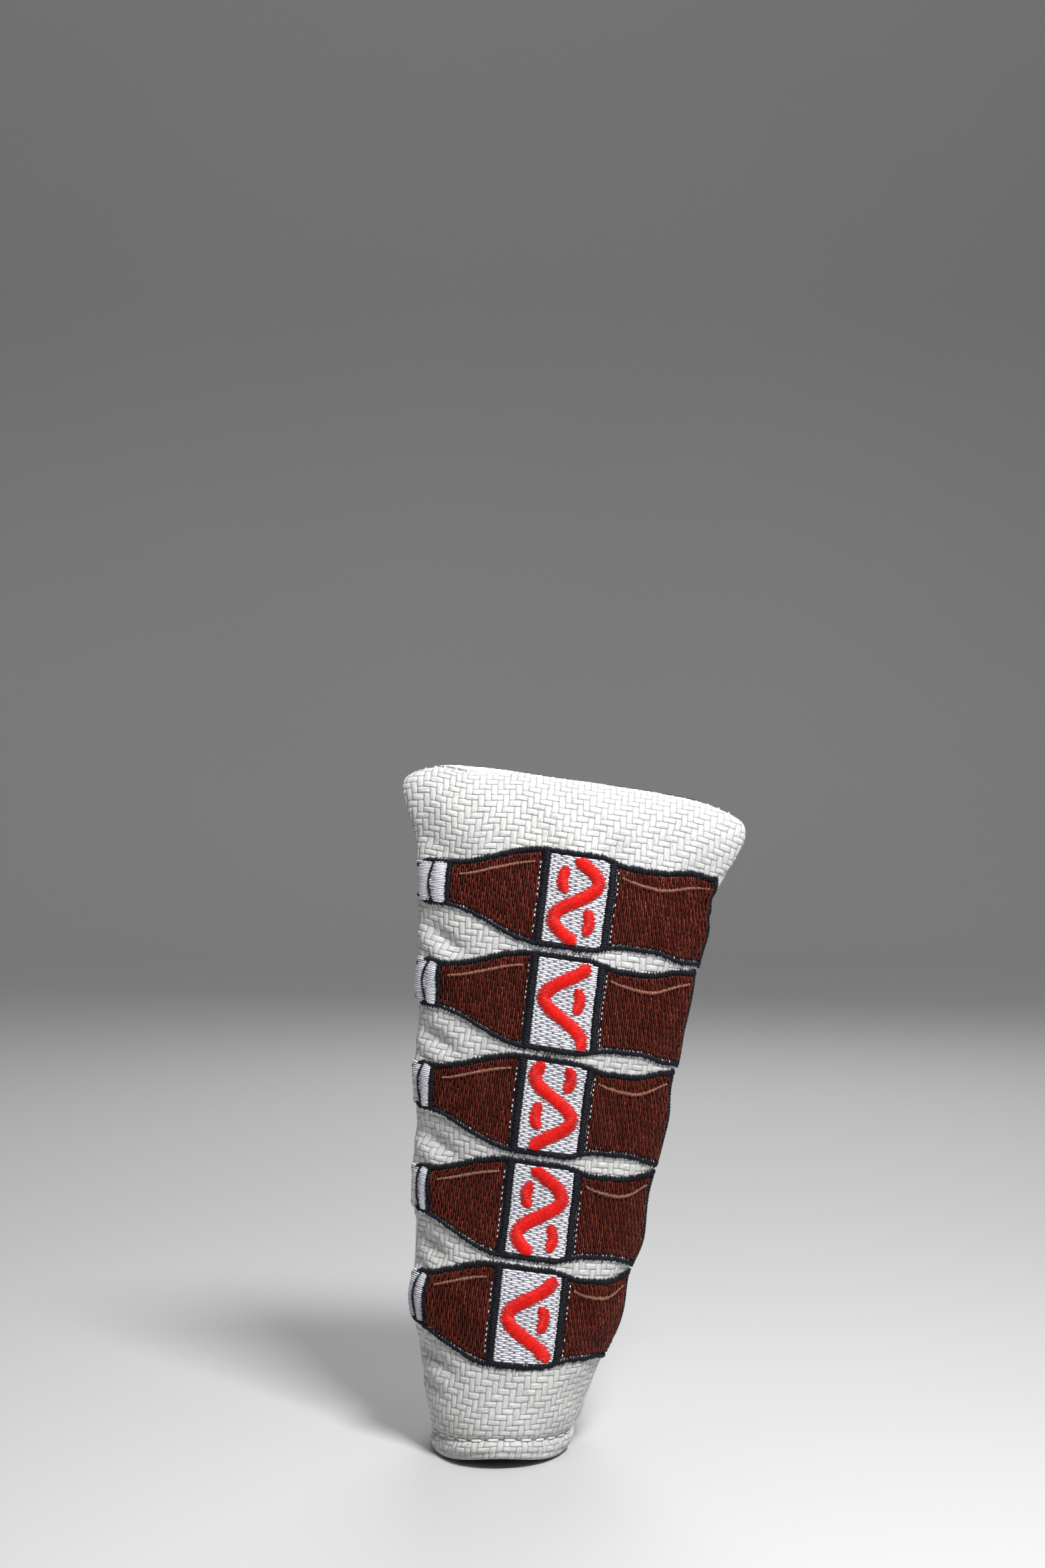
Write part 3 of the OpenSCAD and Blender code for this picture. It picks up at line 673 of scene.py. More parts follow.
def woven_leather():
    paint = Paint("woven_leather", Specular_IOR_Level=0.45, Sheen_Weight=0.08)
    s, w, _, flat = paint.place()
    wobble = paint.noise(0.12, vector=flat, detail=1.0) - 0.5
    wobble2 = paint.noise(0.15, (1, 1.4, 1), vector=flat, detail=1.0) - 0.5
    x = (s + 500.0 + wobble * 1.1) / TWILL
    y = (w + 500.0 + wobble2 * 0.9) / TWILL
    i, j = x.math("FLOOR"), y.math("FLOOR")
    fx, fy = x - i, y - j
    k = (i - j).math("FLOORED_MODULO", 4.0)
    flatways = k.below(1.5)
    hx = (fx + k) * 0.5
    vy = (fy + 3.0 - k) * 0.5
    # Each float is a rounded brick, two cells long, with a fine dark line round it: painted shade in the
    # groove, strongest along the lower edge of the flat floats as a painted shadow under them
    hx_off = (hx - 0.5).math("ABSOLUTE") * 2.0
    hy_off = (fy - 0.5).math("ABSOLUTE") * 2.0
    vx_off = (fx - 0.5).math("ABSOLUTE") * 2.0
    vy_off = (vy - 0.5).math("ABSOLUTE") * 2.0
    h_far = (hx_off.math("POWER", 7.0) + hy_off.math("POWER", 4.0)).math("POWER", 0.25)
    v_far = (vx_off.math("POWER", 4.0) + vy_off.math("POWER", 9.0)).math("POWER", 0.25)
    tall_height = (1.0 - flatways) * (1.0 - v_far.math("POWER", 3.0)) * 0.8
    height = flatways * (1.0 - h_far.math("POWER", 3.0)) + tall_height
    height = height.math("MAXIMUM", 0.0)
    # The line is darkest at the bottom of each flat float: a painted shadow under the float
    low = (1.0 - fy.ramp(0.1, 0.5)) * 0.45 + 0.55
    line = flatways * h_far.ramp(0.80, 1.02) * low + (1.0 - flatways) * v_far.ramp(0.84, 1.0) * 0.55
    fibres_h = paint.noise(1.4, (0.45, 3.0, 1), vector=flat, detail=4.0)
    fibres_v = paint.noise(1.6, (4.5, 0.35, 1), vector=flat, detail=4.0)
    fibres = flatways * fibres_h + (1.0 - flatways) * fibres_v
    speck = paint.noise(9.0, vector=flat, detail=2.0, rough=0.7)
    warm = paint.noise(0.07, vector=flat, detail=2.0)
    base = paint.mix(warm.ramp(0.35, 0.7), (0.57, 0.57, 0.56), (0.66, 0.65, 0.62))
    shade = paint.mix(fibres.ramp(0.32, 0.6), (0.36, 0.36, 0.365), base)
    grit = paint.mix(speck.ramp(0.30, 0.48) * 0.35 + 0.65, (0.30, 0.30, 0.31), shade)
    # The low parts of the relief are painted darker: painted shade in the hollows of the weave
    painted_hollow_shade = paint.mix(height.ramp(0.0, 0.45) * 0.6 + 0.4, (0.36, 0.36, 0.37), grit)
    paint.colour(paint.mix(line * 0.62, painted_hollow_shade, (0.12, 0.12, 0.13)))
    paint.rough(0.50 - height * 0.10 + (1.0 - fibres) * 0.12)
    paint.bump(height * 0.8 + fibres * 0.2 + speck * 0.05 - line * 0.3, 0.16, 1.0)
    return paint


def smooth_leather(name="smooth_leather"):
    paint = Paint(name, Specular_IOR_Level=0.5, Coat_Weight=0.06, Coat_Roughness=0.35)
    grain = paint.noise(900, detail=5.0)
    cells = paint.tree.nodes.new("ShaderNodeTexVoronoi")
    cells.feature = "DISTANCE_TO_EDGE"
    cells.inputs["Scale"].default_value = 1150
    coords = paint.tree.nodes.new("ShaderNodeTexCoord")
    paint.tree.links.new(coords.outputs["Object"], cells.inputs["Vector"])
    pores = Wire(paint.tree, cells.outputs["Distance"]).ramp(0.0, 0.22)
    slow = paint.noise(45, detail=3.0)
    creases = paint.noise(160, (1, 1, 0.35), detail=4.0)
    base = paint.mix(slow.ramp(0.35, 0.7), (0.70, 0.70, 0.70), (0.78, 0.775, 0.76))
    tint = paint.mix(pores * 0.25 + 0.75, (0.50, 0.50, 0.51), base)
    # The valleys of the creases are painted darker: painted shade in the creases
    paint.colour(paint.mix(creases.ramp(0.30, 0.40) * 0.3 + 0.7, (0.58, 0.575, 0.57), tint))
    paint.rough(0.36 + grain * 0.16)
    paint.bump(pores * 0.55 + grain * 0.2 + creases * 0.6, 0.10, 0.7)
    return paint


def plain_weave(name, low, high, pitch=0.45, rough=0.8, sheen=0.2, distance=0.08):
    """Cloth of a plain weave, drawn from the piece's flat coordinates."""
    paint = Paint(name, Sheen_Weight=sheen, Roughness=rough)
    s, w, _, flat = paint.place()
    turn = 2 * math.pi / pitch / 2
    a = (s * turn).math("SINE")
    b = (w * turn).math("SINE")
    over = (a * b) * 0.5 + 0.5
    ridges = ((s * turn).math("COSINE").math("ABSOLUTE") + (w * turn).math("COSINE").math("ABSOLUTE")) * 0.5
    dirt = paint.noise(0.4, vector=flat, detail=4.0)
    paint.colour(paint.mix(over * 0.5 + dirt * 0.5, low, high))
    paint.bump(over * 0.6 + ridges * 0.4, distance, 0.8)
    return paint


def plush():
    paint = Paint("plush", Roughness=0.9, Sheen_Weight=0.6, Sheen_Roughness=0.5)
    tufts = paint.noise(1400, detail=4.0, rough=0.7)
    slow = paint.noise(120, detail=3.0)
    base = paint.mix(tufts.ramp(0.35, 0.65), (0.17, 0.17, 0.18), (0.40, 0.40, 0.41))
    paint.colour(paint.mix(slow.ramp(0.3, 0.7) * 0.35, base, (0.28, 0.28, 0.29)))
    paint.bump(tufts, 0.5, 1.0)
    return paint


def foam():
    paint = Paint("foam", Roughness=0.92, Subsurface_Weight=0.1, Subsurface_Radius=(0.002, 0.0015, 0.001))
    cells = paint.tree.nodes.new("ShaderNodeTexVoronoi")
    cells.inputs["Scale"].default_value = 1500
    coords = paint.tree.nodes.new("ShaderNodeTexCoord")
    paint.tree.links.new(coords.outputs["Object"], cells.inputs["Vector"])
    pores = Wire(paint.tree, cells.outputs["Distance"])
    paint.colour(paint.mix(pores.ramp(0.1, 0.6), (0.55, 0.50, 0.38), (0.78, 0.74, 0.60)))
    paint.bump(pores, 0.25, 0.8)
    return paint


def thread(name, dark, light, glint, rough=0.42, ply=1.15, sheen=0.08, gloss=0.45):
    """Twisted embroidery thread: each strand has its own shade, and fine plies run across it."""
    paint = Paint(name, Specular_IOR_Level=gloss, Sheen_Weight=sheen, Roughness=rough)
    along, across, tag, _ = paint.place()
    strand = (tag * 37.7).math("FRACT")
    twist = ((along * (2 * math.pi / ply) + across * 4.5 + tag * 60.0).math("SINE")) * 0.5 + 0.5
    fuzz = paint.noise(2600, (1, 1, 1), detail=3.0)
    base = paint.mix(strand * 0.55 + fuzz * 0.3 + twist * 0.15, dark, light)
    paint.colour(paint.mix(fuzz.ramp(0.62, 0.74) * strand.ramp(0.45, 0.9), base, glint))
    paint.bump(twist * 0.6 + fuzz * 0.4, 0.07, 0.8)
    return paint


def metal():
    paint = Paint("magnet", Metallic=1.0)
    scratch = paint.noise(900, (1, 6, 1), detail=4.0)
    paint.colour(paint.mix(scratch.ramp(0.3, 0.7), (0.42, 0.42, 0.43), (0.62, 0.62, 0.63)))
    paint.rough(0.24 + scratch * 0.2)
    paint.bump(scratch, 0.02, 0.4)
    return paint


PAINTS = {
    "woven_leather": woven_leather(),
    "smooth_leather": smooth_leather(),
    "backing_cloth": plain_weave("backing_cloth", (0.55, 0.53, 0.47), (0.74, 0.72, 0.66), 0.6),
    "foam": foam(),
    "plush": plush(),
    "binding_tape": plain_weave("binding_tape", (0.55, 0.55, 0.55), (0.80, 0.80, 0.79), 0.5),
    "brown_thread": thread("brown_thread", (0.016, 0.0016, 0.001), (0.145, 0.022, 0.012),
                           (0.50, 0.22, 0.13), sheen=0.0, gloss=0.18),
    "black_thread": thread("black_thread", (0.0015, 0.002, 0.004), (0.006, 0.007, 0.013),
                           (0.04, 0.05, 0.08), 0.6, sheen=0.0, gloss=0.22),
    "tan_thread": thread("tan_thread", (0.14, 0.047, 0.026), (0.27, 0.105, 0.062), (0.5, 0.28, 0.18)),
    "white_thread": thread("white_thread", (0.50, 0.50, 0.56), (0.86, 0.86, 0.90), (0.9, 0.9, 0.92), 0.5),
    "red_thread": thread("red_thread", (0.50, 0.004, 0.003), (0.84, 0.010, 0.006), (0.95, 0.10, 0.05), 0.45,
                         sheen=0.0, gloss=0.25),
    "sewing_thread": thread("sewing_thread", (0.62, 0.61, 0.58), (0.82, 0.81, 0.78),
                            (0.9, 0.9, 0.88), 0.5, 0.9),
    "magnet": metal(),
    "facing_cloth": plain_weave("facing_cloth", (0.30, 0.30, 0.31), (0.50, 0.50, 0.51), 0.5),
}


def finish_piece(obj, slot, body, *nodes):
    PAINTS[slot].give(obj)
    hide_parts(*nodes)
    if body:
        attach(obj, body)
    return obj


def joined_piece(name, parts, slot, body="cover"):
    """Joins the parts of one node into its piece."""
    return finish_piece(merge(name, parts), slot, body, name)


# ---- Outer panels ----

def twill_height(s, w):
    """The woven leather's relief at a place on the flat leather, from 0 to 1."""
    x, y = (s + 500) / TWILL, (w + 500) / TWILL
    i, j = np.floor(x), np.floor(y)
    fx, fy = x - i, y - j
    k = np.mod(i - j, 4)
    flatways = k < 1.5
    hx = np.abs((fx + k) / 2 - 0.5) * 2
    hy = np.abs(fy - 0.5) * 2
    vx = np.abs(fx - 0.5) * 2
    vy = np.abs((fy + 3 - k) / 2 - 0.5) * 2
    flat_h = 1 - (np.clip(hx, 0, 1) ** 7 + hy ** 4) ** 0.75
    tall_h = 0.8 * (1 - (vx ** 4 + np.clip(vy, 0, 1) ** 9) ** 0.75)
    return np.maximum(np.where(flatways, flat_h, tall_h), 0)


def seam_shift(s):
    """How far the top seam lies in front of the crest, measured down the front, at the left ear."""
    return 1.3 * smooth((-s - 12) / 12) * (1 - smooth((-s - 23) / 12))


def panel_rows(count, end):
    """Rows of a panel from inside the turned hem, round the bottom edge and up the outside.
    Each row is (station, depth out, depth of the middle of the fold, cloth coordinate)."""
    rows = [(w, 2.35, 1.35, -w - HEM_CLOTH) for w in np.linspace(HEM_TURN, 1.6, 6)]
    for t in np.linspace(0.08, 0.92, 9) * math.pi:
        rows.append((HEM_FOLD - HEM_FOLD * math.sin(t), HEM_FOLD_DEPTH + HEM_FOLD * math.cos(t),
                     HEM_FOLD_DEPTH, -HEM_CLOTH + HEM_CLOTH * t / math.pi))
    near = np.linspace(HEM_FOLD, 9, 24)
    # Past the hem the rows are evenly spaced along the leather, which curves over at the closed end
    fine = np.linspace(9, end, 4000)
    run = np.concatenate([[0], np.cumsum(np.hypot(np.diff(fine), np.diff(half_depth(fine))))])
    far = np.interp(np.linspace(0, run[-1], count), run, fine)[1:]
    for w in np.concatenate([near, far]):
        rows.append((w, 0.0, 0.95 if w < 5.2 else LEATHER, w - HEM_FOLD))
    return np.array(rows)


def either_side(edge, low, high, left):
    """Columns on both sides of the slit: left + 1 from -edge to low, and the rest from high to edge."""
    low = np.broadcast_to(low, edge.shape)[:left + 1]
    high = np.broadcast_to(high, edge.shape)[left + 1:]
    near, far = edge[:left + 1], edge[left + 1:]
    share_left = np.linspace(0, 1, len(near))[:, None]
    share_right = np.linspace(0, 1, len(far))[:, None]
    return np.concatenate([-near + (low + near) * share_left, high + (far - high) * share_right])


def panel(name, half, columns, count, relief, keep_slit=False):
    rows = panel_rows(count, COVER_LEN - 0.02)
    f = np.linspace(-1, 1, columns)
    w = rows[:, 0][None, :] + 0 * f[:, None]
    edge = panel_half(w, half)
    if keep_slit:
        left = int(round(columns * 0.52))
        s = either_side(edge, arc_at(w, SLIT_FROM), arc_at(w, SLIT_TO), left)
    else:
        s = f[:, None] * edge
    cloth_w = rows[:, 3][None, :] + 0 * s
    # Leather that curves over the closed end is longer than its rise
    rise = np.diff(w, axis=1)
    over = np.cos(np.radians(angle_at(w, s)))[:, 1:] * np.diff(half_depth(w), axis=1)
    cloth_w[:, 1:] += np.cumsum(np.where(w[:, 1:] > 90, np.hypot(rise, over) - rise, 0), axis=1)
    # At the left ear the seam lies in front of the crest: the front stops short, the back goes on
    shift = seam_shift(s) * smooth((w - 60) / 80)
    out = puff(half, w, s, edge)
    inner_fold = rows[:, 1][None, :] > 0
    hem_band = smooth((w - 1.0) / 1.2)
    relief_at = twill_height(s, cloth_w) * relief if relief else 0.0
    lift = np.where(inner_fold, 0, out * hem_band + (relief_at - relief * 0.5))
    if half == FRONT:
        station = w - shift
        outer = skin(half, station, angle_at(w, s), rows[:, 1][None, :] - lift)
        inner = skin(half, station, angle_at(w, s), rows[:, 2][None, :] - lift * 0.6)
    else:
        station = w + shift
        over = station > COVER_LEN
        mirrored = np.where(over, 2 * COVER_LEN - station, station)
        turn = angle_at(w, s)
        outer = skin(BACK, mirrored, turn, rows[:, 1][None, :] - lift)
        inner = skin(BACK, mirrored, turn, rows[:, 2][None, :] - lift * 0.6)
        outer[..., 1] = np.where(over, -outer[..., 1], outer[..., 1])
        inner[..., 1] = np.where(over, -inner[..., 1], inner[..., 1])
    keep = None
    if keep_slit:
        keep = np.ones((columns - 1, len(rows) - 1), bool)
        keep[left, :] = rows[1:, 0] > SLIT_END
    cloth = np.stack([s, cloth_w, np.zeros_like(s)], -1)
    return shell(name, outer, inner, cloth, flip=half == BACK, keep=keep, steps=2, bulge=0.35)


front_panel = panel("front_panel", FRONT, columns=300, count=480, relief=WEAVE_RELIEF)
finish_piece(front_panel, "woven_leather", "cover", "front_panel")
back_panel = panel("back_panel", BACK, columns=190, count=260, relief=0.0, keep_slit=True)
finish_piece(back_panel, "smooth_leather", "cover", "back_panel")


# ---- Inner layers ----

def layer(name, half, depth, thickness, start, slot, *, inset, columns=90, count=130, fuzz=0.0,
          slit=False, seed=0):
    """One soft layer under a panel, crowned between its edges."""
    end_out, end_in = layer_end(depth), layer_end(depth + thickness)
    t = np.linspace(0, 1, count)[None, :]
    t = 0.45 * t + 0.55 * (1 - (1 - t) ** 2)
    grids = []
    left = int(columns * 0.6)
    for end, d, side in ((end_out, depth, 1), (end_in, depth + thickness, -1)):
        w = start + (end - start) * t + np.zeros((columns, 1))
        edge = 90 + half * seam_angle(w) - inset
        if slit:
            angle = either_side(edge, SLIT_FROM - 0.5, SLIT_TO + 0.5, left)
        else:
            angle = np.linspace(-1, 1, columns)[:, None] * edge
        s = arc_at(w, angle)
        p = np.stack([s, w], -1)
        pile = fuzz * np.abs(ripple(p, 1.4, seed + 3)) if side < 0 else 0
        soft = 0.06 * ripple(p, 9, seed + (side > 0)) + pile
        near = np.minimum(np.minimum(w - start, end - w), (edge - np.abs(angle)) * 0.3)
        crown = 0.25 * thickness * (1 - smooth(near / 3))
        # The layer follows the dents of the leather over it
        dent = np.clip(puff(half, w, s, panel_half(w, half)) + SINK, -1.7, 0.3) * smooth((w - 6) / 4)
        grids.append(skin(half, w, angle, d - dent + side * (crown + 0.03) + soft * (1 if side < 0 else 0.5)))
    w = start + (end_out - start) * t + np.zeros((columns, 1))
    keep = None
    if slit:
        keep = np.ones((columns - 1, count - 1), bool)
        keep[left, :] = w[0, 1:] > SLIT_END
    cloth = np.stack([s, w, 0 * s], -1)
    obj = shell(name, grids[0], grids[1], cloth, flip=half == BACK, keep=keep, steps=3, bulge=0.3)
    return finish_piece(obj, slot, "cover", name)


def cut_recesses(foam_piece):
    """Cuts a round recess into the foam for each of the body's magnets."""
    for w in MAGNET_STATIONS:
        s = float(arc_at(w, MAGNET_ANGLE))
        up = normals_at(on_back, np.array([w]), np.array([s]))[0]
        centre = skin(BACK, np.array([w]), np.array([MAGNET_ANGLE]), MAGNET_DEPTH)[0]
        side = np.cross(up, [0, 0, 1.0])
        side /= np.linalg.norm(side)
        other = np.cross(up, side)
        turn = np.linspace(0, 2 * math.pi, 48, endpoint=False)[:, None]
        ring = (np.cos(turn) * side + np.sin(turn) * other) * (MAGNET_D / 2 + RECESS_GAP)
        points = np.concatenate([centre + ring - up * 0.8, centre + ring + up * 3.2])
        k = np.arange(48)
        nxt = (k + 1) % 48
        faces = [np.stack([k, nxt, nxt + 48, k + 48], 1), k[::-1][None, :], (k + 48)[None, :]]
        cutter = make_object("cutter", points, faces, smooth_faces=False)
        modifier = foam_piece.modifiers.new("recess", "BOOLEAN")
        modifier.operation = "DIFFERENCE"
        modifier.solver = "EXACT"
        modifier.object = cutter
        bpy.context.view_layer.objects.active = foam_piece
        bpy.ops.object.modifier_apply(modifier="recess")
        bpy.data.objects.remove(cutter)


layer("embroidery_backing", FRONT, BACKING_DEPTH, BACKING, PADDING_START, "backing_cloth", inset=8,
      seed=21)
layer("front_padding", FRONT, FRONT_FOAM_DEPTH, FOAM, PADDING_START, "foam", inset=6,
                seed=31)
back_foam = layer("back_padding", BACK, BACK_FOAM_DEPTH, FOAM, PADDING_START, "foam", inset=6,
                  slit=True, seed=41)
cut_recesses(back_foam)
layer("front_lining", FRONT, FRONT_LINING_DEPTH, PLUSH, LINING_START, "plush", inset=2, columns=200,
                count=260, fuzz=0.14, seed=51)
layer("back_lining", BACK, BACK_LINING_DEPTH, PLUSH, LINING_START, "plush", inset=2, columns=200,
                count=260, fuzz=0.14, slit=True, seed=61)


# ---- Embroidery ----

def bottle_radius(s):
    rise = smooth((s - CAP_EDGE) / (LEFT_BAND - CAP_EDGE))
    waist = smooth((s - RIGHT_BAND + 4) / 8) * (1 - smooth((s - RIGHT_BAND - 10) / 9))
    return CAP_RADIUS + (LABEL_RADIUS - CAP_RADIUS) * rise - WAIST_DIP * waist


def spread(low, high, pitch):
    return np.linspace(low, high, max(2, int(round((high - low) / pitch))))


def area(from_s, to_s, low, high, nu=24, nv=24):
    """A grid of places between two arc lengths and two edges."""
    s = np.linspace(from_s, to_s, nu)[:, None] + np.zeros((1, nv))
    v = np.linspace(0, 1, nv)[None, :]
    return s, low(s) + (high(s) - low(s)) * v


HALF_BAND = BAND_WIDTH / 2
BOTTLE_REACH = 11        # further above and below the middle than any bottle goes
brown, black, tan, caps, labels, ribbons = [], [], [], [], [], []


class Bottle:
    """Where one of the bottles lies on the front, from the tip of its cap to its base."""

    def __init__(self, i):
        self.station = bottle_station(i)
        self.end_s = float(panel_half(self.station)) - ART_MARGIN
        self.cap_s = -self.end_s
        self.cap_edge = CAP_EDGE + CAP_STEP * i * i
        self.seed = 100 * (i + 1)

    def upper(self, s):
        return self.station + bottle_radius(s)

    def lower(self, s):
        return self.station - bottle_radius(s)

    def plate_area(self, from_s, to_s):
        return area(from_s, to_s, lambda s: self.lower(s) + 0.1, lambda s: self.upper(s) - 0.1)

    def reach(self):
        return self.station - BOTTLE_REACH, self.station + BOTTLE_REACH

    def cap_rows(self):
        return spread(self.station - CAP_RADIUS, self.station + CAP_RADIUS, SATIN_PITCH)

    def cap_place(self, share):
        return self.cap_s + share * (self.cap_edge - self.cap_s)


def brown_fill(bottle):
    """Fill on both sides of the label, over a plain underlay."""
    sides = ((bottle.cap_edge, LEFT_BAND - HALF_BAND), (RIGHT_BAND + HALF_BAND, bottle.end_s - OUTLINE))
    for k, (a, b) in enumerate(sides):
        s, w = bottle.plate_area(a, b)
        # The underlay takes the thread's darkest tone: painted shade in the gaps between the fill stitches
        brown.append(plate(on_front, s, w, 0.03, 0.16, 0.0))

        def inside(s, w):
            return (s > a + 0.1) & (s < b - 0.1) & (np.abs(w - bottle.station) < bottle_radius(s) - 0.1)

        brown.append(fill(on_front, inside, (a, b), bottle.reach(), True, pitch=0.50, stitch=3.6,
                          lift=0.34, width=0.44, height=0.36, seed=bottle.seed + k))


def white_label(bottle):
    """Label, its threads running along the bottle."""
    from_s, to_s = LEFT_BAND + HALF_BAND, RIGHT_BAND - HALF_BAND
    s, w = bottle.plate_area(from_s - 0.2, to_s + 0.2)
    # The underlay takes the thread's darkest tone: painted shade in the gaps between the label stitches
    labels.append(plate(on_front, s, w, 0.03, 0.14, 0.0))

    def inside(s, w):
        across = np.abs(w - bottle.station) < bottle_radius(s) - 0.15
        return (s > from_s - 0.25) & (s < to_s + 0.25) & across

    labels.append(fill(on_front, inside, (LEFT_BAND, RIGHT_BAND), bottle.reach(), False, pitch=0.46,
                       stitch=2.6, lift=0.36, width=0.45, height=0.34, gap=0.08, loose=0.8,
                       seed=bottle.seed + 5))


def white_cap(bottle):
    """Cap with its threads along the bottle, in two lengths."""
    station, edge = bottle.station, bottle.cap_edge
    s, w = area(bottle.cap_s, edge - 0.5,
                lambda s: station - CAP_RADIUS + 0 * s, lambda s: station + CAP_RADIUS + 0 * s)
    caps.append(plate(on_front, s, w, 0.03, 0.22, 0.5))
    ws = bottle.cap_rows()
    for a, b in ((bottle.cap_s, bottle.cap_place(0.52)), (bottle.cap_place(0.5), edge - 0.6)):
        caps.append(satin(on_front, a + 0 * ws, ws, b + 0 * ws, ws, lift=0.36, jag=0.3,
                          seed=bottle.seed + 7))


def black_bands(bottle):
    """Bands beside the label and at the cap's edge, and the fine curved line across the cap."""
    width = BAND_WIDTH - 0.35
    for q in (LEFT_BAND, RIGHT_BAND):
        ws = spread(float(bottle.lower(q)), float(bottle.upper(q)), SATIN_PITCH)
        s, w = area(q - width / 2 + 0.1, q + width / 2 - 0.1, bottle.lower, bottle.upper, 4)
        black.append(plate(on_front, s, w, 0.03, 0.26, 0.5))
        black.append(satin(on_front, q - width / 2 + 0 * ws, ws - 0.18, q + width / 2 + 0 * ws, ws + 0.18,
                           lift=0.42, jag=0.34, seed=bottle.seed + 11 + int(q > 0)))
    ws = bottle.cap_rows()
    edge = bottle.cap_edge + 0 * ws
    black.append(satin(on_front, edge - 0.9, ws, edge + 0.1, ws + 0.1, lift=0.4, seed=bottle.seed + 13))
    curve = (ws - bottle.station) / CAP_RADIUS
    mid = bottle.cap_place(0.52) - 0.9 * (1 - curve ** 2) + 0.4
    black.append(satin(on_front, mid - 0.25, ws, mid + 0.25, ws + 0.12, lift=0.46, jag=0.12,
                       seed=bottle.seed + 14))


def outlines(bottle):
    """Outlines, with a pale underlay that shows as a fringe below the lower one."""
    ss = spread(bottle.cap_s + 3.4, bottle.end_s - 0.4, SATIN_PITCH)
    tilt = 0.6 * np.gradient(bottle_radius(ss), ss)
    r = bottle_radius(ss)
    thick = OUTLINE * (0.68 + 0.12 * smooth((ss - bottle.cap_edge) / 12))
    for side in (-1, 1):
        inner_w, outer_w = bottle.station + side * (r - 0.05), bottle.station + side * (r + thick)
        black.append(satin(on_front, ss + side * tilt * 0.2, inner_w, ss - side * tilt, outer_w,
                           width=0.46, lift=0.4, jag=0.3, seed=bottle.seed + 17 + side))
    outer_w = bottle.station - (r + thick + 0.18)
    caps.append(satin(on_front, ss, bottle.station - r, ss + tilt * 0.9, outer_w, width=0.34, height=0.2,
                      lift=0.16, jag=0.42, seed=bottle.seed + 21))


def outline_ends(bottle):
    """Hooked ends of the outline round the cap, and the base line at the right end."""
    for side in (-1, 1):
        q = spread(0, 2.6, 0.3)
        curl = 1.15 * smooth(q / 2.6) * side
        w_at = bottle.station + side * (CAP_RADIUS + 0.3) - curl
        s_at = bottle.cap_s + 3.4 - q * 0.9
        black.append(satin(on_front, s_at - 0.15, w_at - 0.55, s_at + 0.15, w_at + 0.55, lift=0.38,
                           jag=0.2, seed=bottle.seed + 23 + side))
    end_s = bottle.end_s
    ws = spread(float(bottle.lower(end_s)) - OUTLINE, float(bottle.upper(end_s)) + OUTLINE, SATIN_PITCH)
    black.append(satin(on_front, end_s - OUTLINE + 0 * ws, ws, end_s + 0 * ws, ws, lift=0.36,
                       seed=bottle.seed + 27))


def white_specks(bottle):
    """Specks between the bands and the brown."""
    for q in (LEFT_BAND - HALF_BAND - 0.15, RIGHT_BAND + HALF_BAND + 0.15):
        ws = np.arange(bottle.station - 8, bottle.station + 8, 1.15)
        ws = ws[np.random.default_rng(bottle.seed + int(q)).uniform(size=len(ws)) > 0.25]
        labels.append(satin(on_front, q + 0 * ws, ws, q + 0.05 + 0 * ws, ws + 0.55, width=0.24,
                            height=0.2, lift=0.44, jag=0.1, seed=bottle.seed + 29))


def highlights(bottle):
    """Pale lines along the top of the neck and of the body."""
    lines = ((bottle.cap_edge + 2.2, LEFT_BAND - 2.5, 2.3, 0.0),
             (RIGHT_BAND + 2.2, bottle.end_s - 2.4, 2.0, 1.3))
    for a, b, drop, bow in lines:
        q = spread(a, b, 0.34)
        share = (q - a) / (b - a)
        line = bottle.station + bottle_radius(q) - drop - bow * np.sin(math.pi * share)
        width = 0.38 * np.sin(math.pi * np.clip(share, 0.06, 0.94)) ** 0.3
        tan.append(satin(on_front, q - 0.12, line - width, q + 0.12, line + width, width=0.4, lift=0.52,
                         jag=0.16, seed=bottle.seed + 31))


for i in range(BOTTLES):
    bottle = Bottle(i)
    for stitch in (brown_fill, white_label, white_cap, black_bands, outlines, outline_ends,
                   white_specks, highlights):
        stitch(bottle)


def satin_path(surface, s, w, width, lift, seed, pitch=0.34):
    """Satin stitches across a smooth path, closer on the inside of its bends."""
    length = np.concatenate([[0], np.cumsum(np.hypot(np.diff(s), np.diff(w)))])
    t = spread(0, length[-1], pitch)
    ps, pw = np.interp(t, length, s), np.interp(t, length, w)
    ds, dw = np.gradient(ps), np.gradient(pw)
    size = np.hypot(ds, dw)
    ns, nw = -dw / size, ds / size
    taper = np.clip(np.minimum(t, length[-1] - t) / (width * 0.45), 0.0, 1.0)
    half = width / 2 * np.sqrt(np.clip(1 - (1 - taper) ** 2, 0.1, 1))
    slant = 0.18
    return satin(surface, ps - ns * half - ds / size * slant, pw - nw * half - dw / size * slant,
                 ps + ns * half + ds / size * slant, pw + nw * half + dw / size * slant,
                 width=0.42, height=0.34, lift=lift, jag=0.16, seed=seed)


